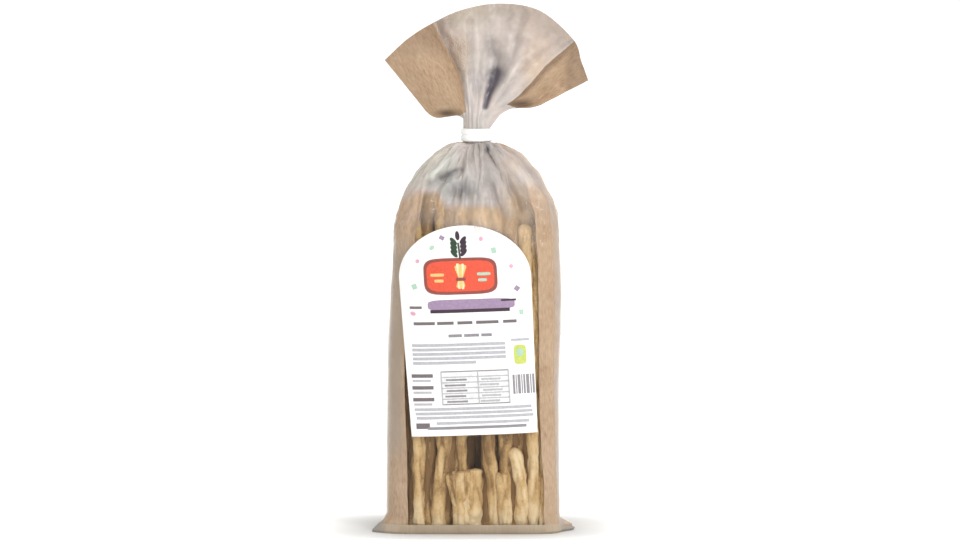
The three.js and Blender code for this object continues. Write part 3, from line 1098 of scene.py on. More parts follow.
@dataclass
class BagWalls:
    """The paper back and sides with the film front, cut from one wall so that they meet exactly."""

    form: BagForm
    grid: WallGrid
    film_edge: float = 1.0
    film_lift: float = 0.16
    seam_overlap: float = 0.012
    trim_left: float = 3.14
    trim_right: float = 3.22
    contents_top: tuple = (
        (-50, 224), (-41, 230), (-24, 231), (-19, 222), (17, 221), (23, 214), (40, 209), (56, 204),
    )
    paper_thickness: float = 0.16
    hem_height: float = 6.6
    hem_lift: float = 0.35
    hem_thickness: float = 0.2
    hem_corners: int = 238
    # Spots of painted shade below the paper ears, of extra milk in the mouth, and of painted shade in the
    # mouth and under the tie.
    shade_under_ears: tuple = (Spot(-17.5, 284, 8, 2.8), Spot(31, 290, 11, 3.6, 0.9))
    mouth_milk: tuple = (Spot(6, 300, 13, 40, 0.16), Spot(30, 312, 10, 13, 0.12))
    mouth_shade_spot: Spot = Spot(4, 302, 7, 14, 0.5)
    neck_notch_shade: Spot = Spot(10, 260, 2.5, 3.5, 0.95)
    hollow_flatness: float = 0.65
    seam_softness: float = 0.02
    above_span: Pair = (-4.0, 9.0)
    tips_span: Pair = (-26.0, -6.0)
    clear_haze: float = 0.006
    tips_haze: Pair = (0.24, 0.52)
    dome_haze: float = 0.46
    mouth_haze: float = 0.53
    rim_haze: float = 0.75
    # How far a ridge is whitened, as a painted highlight.
    ridge_painted_highlight: float = 0.22

    def __post_init__(self) -> None:
        """Keeps the shares of the film's two seams."""
        self.seam_left, self.seam_right = self.form.seam_shares

    def column(self, share: float) -> int:
        """The front column that lies nearest to a share."""
        return int(round((share + 1) / 2 * self.form.front_columns))

    def paper_shell(self, finish: Material) -> Object:
        """The back and both gussets, round to the film's seams, up to the mouth's edge.

        Args:
            finish: The paper.

        Returns:
            The shell.
        """
        grid = self.grid
        count = len(grid.shares)
        chosen = np.arange(self.column(self.seam_right), count + self.column(self.seam_left) + 1) % count
        across = np.unwrap(grid.across[chosen], period=grid.across[-1] + 1)
        points = grid.points[:, chosen]
        piece = sheet_from("paper_shell", points, (across, grid.upwards))
        paint(piece, "painted_shade", self.paper_shade(points, grid.shares[chosen], grid.sides[chosen]))
        thicken(piece, self.paper_thickness, -1)
        return dress(piece, finish, 60)

    def paper_shade(self, points: np.ndarray, shares: np.ndarray, sides: np.ndarray) -> np.ndarray:
        """How much painted shade darkens the paper: in the mouth, below its ears, left of the window, at its
        left foot and along each gusset.

        Args:
            points: The paper's places.
            shares: One for each column.
            sides: One for each column.

        Returns:
            From 0, bare paper, to 1, dark painted shade, for each place.
        """
        x, z = points[:, :, 0], points[:, :, 2]
        # Painted shadow along the film's edge on the right ear, and painted shade below both ears, on the
        # left ear's top, the right ear's tip, the strip left of the window and the left foot corner.
        fold = 0.52 * bell(shares, self.seam_right + 0.03, 0.035)[None, :] * (z > 286)
        under_ear_shade = 0.9 * np.max([spot.at(x, z) for spot in self.shade_under_ears], axis=0) * (z > MOUTH_FROM_Z)
        left_ear_shade = smoothstep(-shares, 0.53, 0.56)[None, :] * lerp(0.08, 0.36, smoothstep(z, 316, 334))
        ears = np.maximum(left_ear_shade, 0.4 * smoothstep(x, 59, 66)) * (z > 280)
        strip_shade = 0.27 * self.shaded_left_strip(z, shares)
        left_corner_shade = 0.3 * (x < -60) * (z < 12)
        shaded = np.max([fold, under_ear_shade, ears, strip_shade, left_corner_shade], axis=0) * (sides < 0)[None, :]
        # A line of painted shade along the middle of each gusset, where it is pressed.
        gusset_crease_shade = bell(np.abs(shares), 1, self.form.gusset_crease_share)[None, :]
        return np.maximum(shaded, 0.42 * gusset_crease_shade * between(z, (6, 16), (200, 232))).clip(0, 1)

    @staticmethod
    def shaded_left_strip(z: np.ndarray, shares: np.ndarray) -> np.ndarray:
        """Where painted shade lies on the paper left of the window: 1 in its middle and 0 around it."""
        return between(z, (42, 68), (180, 212)) * between(-shares, (0.52, 0.6), (0.76, 0.88))[None, :]

    def window(self, finish: Material) -> Object:
        """The film front, which overlaps the paper as far as the gussets.

        Args:
            finish: The film.

        Returns:
            The front.
        """
        grid = self.grid
        chosen = np.arange(self.column(-self.film_edge), self.column(self.film_edge) + 1)
        above = grid.rises > self.hem_height / 2 / self.form.shoulder_z
        places = grid.points[:, chosen] + grid.outwards[:, chosen] * self.film_lift
        places = places[above]
        rises, shares = grid.rises[above], grid.shares[chosen]
        piece = sheet_from("window_film", places, (grid.across[chosen], grid.upwards[above]))
        for name, values in self.milk_sheen_and_shade(places, rises, shares).items():
            paint(piece, name, values)
        self.trim(piece, rises, shares)
        return dress(piece, finish, 80)

    def trim(self, piece: Object, rises: np.ndarray, shares: np.ndarray) -> None:
        """Cuts the film off along the paper's edge in the mouth, where the paper ears are bare.

        Args:
            piece: The film.
            rises: One for each of its rows.
            shares: One for each of its columns.
        """
        rise = np.repeat(rises[:-1], len(shares) - 1)
        share = np.tile(shares[:-1], len(rises) - 1)
        beyond = (share < self.seam_left - self.seam_overlap) | (share > self.seam_right + self.seam_overlap)
        limit = np.where(share < 0, self.trim_left, self.trim_right)
        select_only(piece)
        bpy.ops.object.mode_set(mode="EDIT")
        bpy.ops.mesh.select_mode(type="FACE")
        bpy.ops.mesh.select_all(action="DESELECT")
        bpy.ops.object.mode_set(mode="OBJECT")
        piece.data.polygons.foreach_set("select", beyond & (rise > limit))
        bpy.ops.object.mode_set(mode="EDIT")
        bpy.ops.mesh.delete(type="FACE")
        bpy.ops.object.mode_set(mode="OBJECT")

    def milk_sheen_and_shade(self, places: np.ndarray, rises: np.ndarray, shares: np.ndarray) -> dict[str, np.ndarray]:
        """How the film looks at each place: clear on the body and milky where it is gathered, with painted
        sheen, painted highlights and painted shade.

        Args:
            places: The film's places.
            rises: One for each row.
            shares: One for each column.

        Returns:
            The haze with its painted sheen, from 0, clear, to 1, white, the painted shade and the warmth,
            each from 0 to 1.
        """
        x, z = places[:, :, 0], places[:, :, 2]
        right = smoothstep(shares, self.seam_right, self.seam_right + self.seam_softness)
        left = smoothstep(-shares, -self.seam_left, self.seam_softness - self.seam_left)
        outside = (right + left)[None, :]
        below_tie = (rises <= 2.5)[:, None]
        edge = smoothstep(rises, 3.8, 4.0)[:, None]
        cloud = field_noise(places, 24, 31) + 0.5 * field_noise(places, 9, 33)

        # Clear over the sticks, milkier over their tips, and milky on the dome above them, whiter on its
        # left; that whiteness is partly painted sheen.
        over_top = z - np.interp(x, *zip(*self.contents_top))
        above = smoothstep(over_top, *self.above_span)
        tips = smoothstep(over_top, *self.tips_span) * (1 - above)
        clearer_right = smoothstep(x, 26, 44) * (1 - smoothstep(z, 224, 232))
        dome = self.clear_haze + lerp(*self.tips_haze, bell(x, 2, 20)) * tips
        dome += above * (self.dome_haze + 0.16 * smoothstep(-x, -4, 22) - 0.16 * clearer_right)

        # Milky in the mouth too, partly as painted sheen, but clearer on its left and along its edge.
        fan = self.mouth_haze + sum(spot.at(x, z) for spot in self.mouth_milk)
        fan -= 0.3 * smoothstep(-x, lerp(5, -6, smoothstep(z, 304, 314)), 8) * (1 - smoothstep(z, 330, 346))
        fan -= 0.35 * edge

        # Nearly unseen on the body's paper, but for painted shade on the strip left of the window and a grey
        # rim round its right edge, made of milk and painted shade.
        strip_shade = self.shaded_left_strip(z, shares)
        rim = between(shares, (0.7, 0.74), (0.79, 0.85))[None, :] * below_tie
        on_paper = np.maximum(0.03 + 0.45 * smoothstep(z, 204, 236) + 0.03 * strip_shade, self.rim_haze * rim)
        milk_and_sheen = lerp(np.where(below_tie, dome, fan), np.where(below_tie, on_paper, 0.6), outside)
        milk_and_sheen += 0.12 * cloud * (milk_and_sheen > 0.12)

        # Painted shade in the creases and hollows, under the tie and low in the mouth, where the film is
        # milky as well, and a painted highlight on the ridges.
        painted_shade = 0.3 * edge + 0.12 * strip_shade + 0.5 * rim
        painted_shade += ~below_tie * lerp(0.14, 0.05, smoothstep(z, 280, 294))
        for crease in self.form.creases:
            near = (1 - crease.off(x, z)).clip(0) ** 0.8
            near *= smoothstep(crease.path[0][1] - z, -2, crease.comes_in)
            near *= (rises > 2.5)[:, None] == crease.above_tie
            if crease.depth > 0:
                painted_shade = np.maximum(painted_shade, near * crease.shade)
            else:
                milk_and_sheen += self.ridge_painted_highlight * near
        hollow_x, hollow_z, size, _ = self.form.hollow
        hollow = Spot(hollow_x, hollow_z, size, size * self.hollow_flatness).at(x, z)
        painted_shade = np.max([painted_shade, below_tie * 0.84 * hollow, below_tie * self.neck_notch_shade.at(x, z),
                       ~below_tie * self.mouth_shade_spot.at(x, z)], axis=0)
        milk_and_sheen += (0.85 - milk_and_sheen).clip(0) * painted_shade

        # Warm from the paper behind it at the mouth's sides, and from the sticks near their tips.
        warm_mouth = lerp(0.4, 0.68, smoothstep(np.abs(x - 8), 14, 34)) - 0.3 * edge
        warm_dome = lerp(0.42, 0.62, smoothstep(x, 14, 26)) - 0.4 * smoothstep(-x, 5, 20) - 0.4 * hollow
        warm_dome += 0.3 * smoothstep(x, 20, 30) * (1 - smoothstep(z, 228, 242))
        warmth = np.where(below_tie, np.maximum(warm_dome, tips), warm_mouth) + 0.25 * cloud
        return {"haze_and_sheen": milk_and_sheen.clip(0, 0.95), "painted_shade": painted_shade.clip(0, 1), "warmth": warmth.clip(0, 1)}

    def block_bottom(self, finish: Material) -> Object:
        """The folded paper bottom, with a low hem that laps up round the wall.

        Args:
            finish: The paper.

        Returns:
            The bottom.
        """
        count = self.hem_corners
        turn = np.linspace(0, 2, count, endpoint=False)
        shares = np.where(turn < 1, 2 * turn - 1, 3 - 2 * turn)
        sides = np.where(turn < 1, -1.0, 1.0)
        top = self.hem_height / self.form.shoulder_z
        rises = np.array([0.0005, top * 0.25, top])
        rows = np.stack([self.form.row(float(rise), shares, sides) for rise in rises])
        off = rows - rows.mean(axis=1, keepdims=True)
        off[:, :, 2] = 0
        rows += off / np.linalg.norm(off, axis=2, keepdims=True) * self.hem_lift
        rows[0, :, 2] = 0
        piece = made("block_bottom", bpy.ops.mesh.primitive_circle_add, vertices=count, radius=1,
                     fill_type="NGON")
        flat = corners(piece)
        angle = np.arctan2(flat[:, 1], flat[:, 0])
        order = np.rint((angle + np.pi) / (2 * np.pi) * count).astype(int) % count
        place_corners(piece, rows[0, order] * MM)
        bpy.ops.object.mode_set(mode="EDIT")
        bpy.ops.mesh.select_mode(type="EDGE")
        bpy.ops.mesh.select_all(action="SELECT")
        bpy.ops.mesh.region_to_loop()
        for low, high in zip(rows[:, 0, 2], rows[1:, 0, 2]):
            bpy.ops.mesh.extrude_region_move(TRANSFORM_OT_translate={"value": (0, 0, (high - low) * MM)})
        bpy.ops.mesh.select_all(action="SELECT")
        bpy.ops.mesh.normals_make_consistent(inside=False)
        bpy.ops.object.mode_set(mode="OBJECT")
        flat = corners(piece) / MM
        row = np.abs(flat[:, 2, None] - rows[:, 0, 2]).argmin(axis=1)
        order = np.linalg.norm(flat[:, None, :2] - rows[0, :, :2], axis=2).argmin(axis=1)
        place_corners(piece, rows[row, order] * MM)
        # Painted shade greys the foot ears: partly shade, partly the grey of the film they are made of.
        paint(piece, "painted_shade", 0.75 * smoothstep(np.abs(rows[row, order, 0]), 58.5, 62))
        thicken(piece, self.hem_thickness, -1)
        return dress(piece, finish, 35)


# ---- Breadsticks --------------------------------------------------------------------------------


@dataclass(frozen=True)
class StickPlan:
    """One breadstick: its course from foot to tip, its thickness and how finely it is made.

    The course is points of x and z. Without a depth the stick leans on the film, or stays behind it by
    the distances at its foot and its tip. Ends are round at 1 and nearly flat at 0.
    """

    course: tuple[Pair, ...]
    radius: float
    seed: int
    depth: Pair | None = None
    behind: Pair = (0.0, 0.0)
    sides: int = 14
    rings: int = 44
    toast_and_shade: float = 0.0
    ends: float = 0.95
    wander: float = 1.0

    @property
    def foot_z(self) -> float:
        """How high the stick's foot is."""
        return self.course[0][1]

    @property
    def length(self) -> float:
        """How long the stick is, straight up."""
        return self.course[-1][1] - self.foot_z


@dataclass
class Breadsticks:
    """All breadsticks in the bag: those against the film, each by its own place, and rows behind them."""

    form: BagForm
    film_gap: float = 0.8
    foot_z: float = 1.8
    nestled_y: float = -21.5
    nestled: tuple = (-41.2, -32.4, 9.4, 27.6, 36.8)
    rows_behind: tuple = (-13.0, -4.0, 5.0, 14.0, 23.0)
    stick_pitch: float = 9.9
    wall_room: float = 5.0
    dome_room: float = 2.6
    empty_place: tuple[float, float, int] = (2.5, 5.0, 2)
    paper_room: float = 6.8
    noise_step: float = 37.0
    noise_radius: float = 5.0
    sideways: float = 0.7
    tip_sideways: Pair = (2.0, 1.5)
    tips_together: float = 0.93
    radii: Pair = (4.3, 4.9)
    tops: Pair = (214, 236)
    cap_rings: int = 6
    twist_length: float = 60.0

    def in_front(self, course: tuple, radius: float, seed: int, behind: Pair, rings: int,
                 *looks: float) -> StickPlan:
        """A stick against the film, with its foot on the bottom; its looks are browning with painted shade,
        ends and wander.
        """
        foot = (course[0][0], self.foot_z)
        return StickPlan((foot, *course[1:]), radius, seed, None, behind, 30, rings, *looks)

    def leaning(self) -> list[StickPlan]:
        """Whole sticks along the film, from left to right, closer together at their tips.

        Returns:
            Their plans.
        """
        # Each stick's course, radius, distances behind the film and browning; most of those set back are
        # browned more, as painted shade in the gaps.
        plans = [
            (((-45.5, 0), (-45, 120), (-44, 206)), 4.2, (3.0, 1.0), 0.42),
            (((-36.8, 0), (-37, 25), (-36.6, 60), (-38.5, 222)), 4.8, (0.0, 0.0), 0.06),
            (((-28.8, 0), (-28.4, 70), (-30.5, 229)), 4.4, (7.0, 0.5), 0.3),
            (((-23.4, 0), (-22.9, 32), (-19.6, 58), (-18.5, 90), (-21.5, 230)), 4.9, (1.0, 0.4), 0.16),
            (((-17.5, 0), (-15.5, 60), (-15.5, 224)), 4.4, (6.5, 0.6), 0.4),
            (((-8.4, 0), (-8.2, 60), (-9.0, 222)), 4.6, (7.0, 0.2), 0.12),
            (((2.4, 0), (2.4, 60), (0.0, 221)), 4.0, (27.0, 0.6), 0.8),
            (((13.8, 0), (13.2, 38), (10.6, 62), (9, 120), (8.0, 222)), 4.5, (2.2, 0.0), 0.1),
            (((22.6, 0), (22.6, 60), (17.0, 220)), 4.4, (5.5, 0.7), 0.12),
            (((31.0, 0), (31.0, 60), (25.5, 215)), 4.4, (9.5, 0.0), 0.26),
            (((41.0, 0), (40.8, 60), (34.5, 210)), 4.5, (0.2, 0.5), -0.1),
            (((48.0, 0), (47.4, 60), (41.0, 201)), 4.5, (0.0, 0.9), 0.06),
        ]
        return [self.in_front(course, radius, 20 + i, behind, 150, toast_and_shade, 0.95, 0.4)
                for i, (course, radius, behind, toast_and_shade) in enumerate(plans)]

    def broken(self) -> list[StickPlan]:
        """Broken sticks at the bottom, in front of the whole ones.

        Returns:
            Their plans.
        """
        plans = [
            (((-9.2, 0), (-9.5, 43.3)), 5.2, 0.0, 0.0, 0.3),
            (((1.2, 0), (1.0, 44.6)), 5.3, 0.1, 0.02, 0.28),
            (((-9.5, 0), (-10, 24), (-14.6, 35), (-15.8, 41.4)), 3.8, 1.2, -0.04, 0.6),
            (((-4.0, 0), (-4.0, 43.2)), 4.0, 1.2, 0.06, 0.4),
            (((22.5, 0), (21.4, 22), (18.6, 42.0)), 4.6, 0.1, -0.08, 0.6),
            (((32.4, 0), (32.5, 36), (27.2, 59.0)), 5.0, 0.2, -0.08, 0.85),
        ]
        return [self.in_front(course, radius, 60 + i, (behind, behind), 76, toast_and_shade, ends, 0.35)
                for i, (course, radius, behind, toast_and_shade, ends) in enumerate(plans)]

    def packed(self) -> list[StickPlan]:
        """Whole sticks behind, some nestled between those in front and the rest in rows.

        Returns:
            Their plans.
        """
        draw = random.Random(5)
        places = [(x, self.nestled_y) for x in self.nestled]
        for row, y in enumerate(self.rows_behind):
            count = 11 if row % 2 else 10
            for i in range(count):
                x = (i - (count - 1) / 2) * self.stick_pitch + draw.uniform(-self.sideways, self.sideways)
                if row >= self.empty_place[2] or abs(x - self.empty_place[0]) > self.empty_place[1]:
                    places.append(self.clear_of_wall(x, y))
        plans = []
        for x, y in places:
            radius = draw.uniform(*self.radii)
            to_side, to_back = self.tip_sideways
            tip_x = x * self.tips_together + draw.uniform(-to_side, to_side) + self.form.neck_shift
            tip_y = y + draw.uniform(-to_back, to_back)
            high = min(draw.uniform(*self.tops), self.ceiling(tip_x, tip_y, radius))
            # Sticks behind are browned more than those in front, as painted shade in the gaps between them.
            plans.append(StickPlan(((x, self.foot_z), (tip_x, high)), radius, 100 + len(plans), (y, tip_y),
                                   toast_and_shade=0.45 if y == self.nestled_y else 0.25))
        return plans

    def clear_of_wall(self, x: float, y: float) -> Pair:
        """The place itself, or the nearest one towards the middle that leaves room for the paper.

        Args:
            x: How far the place lies to the right, in millimetres.
            y: How far it lies behind.

        Returns:
            The new place.
        """
        form = self.form
        across = abs(x) / (form.half_widths[-2] - self.paper_room)
        deep = abs(y) / (form.half_depths[-2] - self.paper_room)
        power = form.squareness[-2]
        inwards = max(1.0, (across**power + deep**power) ** (1 / power))
        return x / inwards, y / inwards

    def ceiling(self, x: float, y: float, radius: float) -> float:
        """How high a stick can reach below the dome.

        Args:
            x: How far its tip lies to the right, in millimetres.
            y: How far it lies behind.
            radius: The stick's radius.

        Returns:
            The height, in millimetres.
        """
        for rise in np.linspace(1.9, 1.0, 60):
            z, half_width, half_depth, squareness = self.form.section(float(rise))
            room = radius + self.wall_room
            across = abs(x - self.form.lean(z)) / max(1, half_width - room)
            deep = abs(y) / max(1, half_depth - room)
            if across**squareness + deep**squareness < 1:
                return z
        return self.form.shoulder_z

    def core(self, plan: StickPlan, t: np.ndarray) -> np.ndarray:
        """The middle line of a stick.

        Args:
            plan: The stick.
            t: Shares of its length from the foot to the tip.

        Returns:
            Places in millimetres.
        """
        reach = plan.seed * self.noise_step + t * plan.length
        spots = np.stack([0 * reach, 0 * reach, reach], axis=-1)
        z = plan.foot_z + plan.length * t
        across, heights = zip(*plan.course)
        x = np.mean([np.interp(z + step, heights, across) for step in (-8, -4, 0, 4, 8)], axis=0)
        x = x + plan.wander * (1.6 * field_noise(spots, 48, 7) + 0.7 * field_noise(spots, 15, 8))
        if plan.depth is None:
            girth = plan.radius * 1.15
            touching = [self.form.front_wall(x + girth * math.sin(a), z)[..., 1] + girth * math.cos(a)
                        for a in (-1.2, -0.6, 0.0, 0.6, 1.2)]
            room = self.film_gap + self.dome_room * smoothstep(z, 188, 215)
            y = np.max(touching, axis=0) + room + lerp(*plan.behind, t) + 0.5 * field_noise(spots, 40, 9)
        else:
            y = lerp(*plan.depth, t) + 0.7 * field_noise(spots, 50, 9)
        return np.stack([x, y, z], axis=-1)

    def stick(self, plan: StickPlan) -> Object:
        """Shapes one breadstick from a sphere: stretched and twisted dough with knots and split grain.

        Args:
            plan: Its place and size.

        Returns:
            The stick, with its browning and painted shade stored for each vertex.
        """
        piece = made(f"stick_{plan.seed}", bpy.ops.mesh.primitive_uv_sphere_add, segments=plan.sides,
                     ring_count=plan.rings, radius=1)
        flat = corners(piece)
        ring = np.rint((1 - np.arccos(flat[:, 2].clip(-1, 1)) / np.pi) * plan.rings).astype(int)
        angle = np.arctan2(flat[:, 1], flat[:, 0])
        length, cap = plan.length, self.cap_rings
        quarter = np.pi / 2 * np.arange(cap + 1) / cap
        start = plan.radius * plan.ends * (1 - np.cos(quarter))
        middle = np.linspace(start[-1], length - start[-1], plan.rings - 2 * cap + 1)[1:-1]
        along = np.concatenate([start, middle, length - start[::-1]])
        girth = np.concatenate([np.sin(quarter), np.ones(len(middle)), np.sin(quarter)[::-1]])[ring]
        centre = self.core(plan, along / length)[ring]
        along = along[ring]
        turned = angle + along / self.twist_length * (1 if plan.seed % 2 else -1)
        apart = plan.seed * self.noise_step
        ring_x, ring_y = np.cos(turned) * self.noise_radius, np.sin(turned) * self.noise_radius
        spot = np.stack([ring_x, ring_y, along], axis=1) + apart
        spine = np.stack([0 * along, 0 * along, along], axis=1) + apart
        swell = 0.15 * field_noise(spine, 17, 1) + 0.11 * field_noise(spine, 7, 2)
        knot = 0.34 * (field_noise(spine, 13, 15) - 0.22).clip(0)
        lump = 0.16 * field_noise(spot, 7, 3) + 0.10 * field_noise(spot, 3.6, 4)
        flattened = 0.09 * np.cos(2 * turned + plan.seed)
        grain = field_noise(spot * np.array([1, 1, 0.16]), 3.1, 5)
        split = -0.2 * (1 - np.abs(field_noise(spot * np.array([1, 1, 0.22]), 5.5, 16)) * 6).clip(0)
        fine = 0.2 * field_noise(spot, 1.7, 6) if plan.rings > 50 else 0
        rough = 1 + swell + knot + lump + flattened + 0.13 * grain + split
        radius = plan.radius * girth * rough + girth * fine
        places = centre + np.stack([radius * np.cos(angle), radius * np.sin(angle), 0 * angle], axis=1)
        places[:, 2] += (1 - girth) * 0.5 * field_noise(spot, 2.5, 18) * (plan.ends < 0.9)
        place_corners(piece, places * MM)
        toast_and_shade = 0.22 + plan.toast_and_shade + 0.6 * (swell + lump) + 0.26 * grain - 0.7 * split
        # Browner at the ends, and paler near the foot as painted light where the hem shades the sticks.
        toast_and_shade += 0.2 * (1 - girth) - 0.35 * bell(places[:, 2], 0, 15)
        paint(piece, "toast_and_shade", toast_and_shade + 0.25 * field_noise(spot, 26, 12))
        return piece

    def bundle(self, name: str, plans: list[StickPlan], finish: Material) -> Object:
        """Makes the sticks of one kind and joins them into one piece."""
        return dress(join([self.stick(plan) for plan in plans], name), finish, 80)


# ---- Label --------------------------------------------------------------------------------------


@dataclass
class ArchedLabel:
    """The paper label on the film, with a plain print of bars and shapes."""

    form: BagForm
    half_width: float = 43.8
    foot_half_width: float = 42.0
    straight: float = 105.9
    arch: float = 35.4
    sheet_width: float = 88.0
    foot_x: float = 1.2
    foot_z: float = 68.8
    lean_degrees: float = 3.4
    tilt_degrees: float = 2.0
    gap: float = 0.4
    thickness: float = 0.25
    columns: int = 41
    straight_rows: int = 30
    arch_rows: int = 26
    step: float = 0.5

    def on_label(self, across: np.ndarray, up: np.ndarray, lift: float) -> np.ndarray:
        """Places over the bag's wall by their place on the flat label.

        Args:
            across: Millimetres to the right of the label's middle line.
            up: Millimetres above its lower edge.
            lift: Millimetres off the ridges of the wall.

        Returns:
            Places in millimetres.
        """
        lean, tilt = math.radians(self.lean_degrees), math.radians(self.tilt_degrees)
        x = self.foot_x + across * math.cos(tilt) - up * math.sin(lean)
        z = self.foot_z + across * math.sin(tilt) + up * math.cos(lean)
        step, wall = self.step, self.form.front_wall
        along_x = wall(x + step, z) - wall(x - step, z)
        along_z = wall(x, z + step) - wall(x, z - step)
        normal = np.cross(along_x, along_z)
        normal /= np.linalg.norm(normal, axis=-1, keepdims=True)
        return wall(x, z) + normal * (self.form.ridge_height + lift)

    def sheet(self, finish: Material) -> Object:
        """The label's paper.

        Args:
            finish: The paper.

        Returns:
            The label.
        """
        turn = np.arccos(0.06) * np.linspace(0, 1, self.arch_rows)
        straight_up = np.linspace(0, self.straight, self.straight_rows)[:-1]
        up = np.concatenate([straight_up, self.straight + self.arch * np.sin(turn)])
        flare = np.linspace(self.foot_half_width, self.half_width, self.straight_rows)[:-1]
        half = np.concatenate([flare, self.half_width * np.cos(turn)])
        across = np.linspace(-1, 1, self.columns)
        points = self.on_label(across * half[:, None], up[:, None] + 0 * across, self.gap)
        piece = sheet_from("label_sheet", points, ((across + 1) / 2 * self.sheet_width, up))
        thicken(piece, self.thickness, 1)
        return dress(piece, finish, 40)


@dataclass(frozen=True)
class PrintInk:
    """Printing ink on coated paper: flat colour, a little uneven, with the paper's slight shine."""

    name: str
    colour: str
    roughness: float = 0.45
    grain_mm: float = 1.4

    def material(self) -> Material:
        """Builds the material.

        Returns:
            The finish, ready for a piece.
        """
        recipe = Recipe(f"ink_{self.name}")
        shade = add_node(recipe.tree, "ShaderNodeMapRange", {
            "Value": recipe.noise(recipe.in_space, self.grain_mm, 3, 0.6), "From Min": 0.3, "From Max": 0.7,
            "To Min": 0.86, "To Max": 1.1}).outputs[0]
        colour = recipe.blend(1.0, linear(self.colour), shade, blend_type="MULTIPLY")
        return recipe.finished(recipe.surface(colour, self.roughness))


class Ink(Enum):
    """The inks of the print."""

    RED = PrintInk("red", "DE5238")
    BRICK = PrintInk("brick", "8E463E")
    STRAW = PrintInk("straw", "E9BE76")
    CREAM = PrintInk("cream", "F4DFB2")
    GREEN = PrintInk("green", "27402C")
    PLUM = PrintInk("plum", "3A2536")
    MAUVE = PrintInk("mauve", "9A84A0")
    GREY = PrintInk("grey", "8A878D")
    PALE_GREY = PrintInk("pale_grey", "B2B1B7")
    MIST = PrintInk("mist", "E3E3E1")
    DARK_GREY = PrintInk("dark_grey", "6E6668")
    LIME = PrintInk("lime", "BFCB63")
    ROSE = PrintInk("rose", "D9A3B5")
    SAGE = PrintInk("sage", "A9C9B4")


class Outline(Enum):
    """How a printed field is bounded: its value is how square a superellipse it is."""

    BAR = 0
    SOFT = 5
    OVAL = 2


@dataclass(frozen=True)
class Patch:
    """One printed field: its ink, middle, size, turn in degrees and outline."""

    ink: Ink
    across: float
    up: float
    width: float
    height: float
    turn: float = 0
    outline: Outline = Outline.BAR


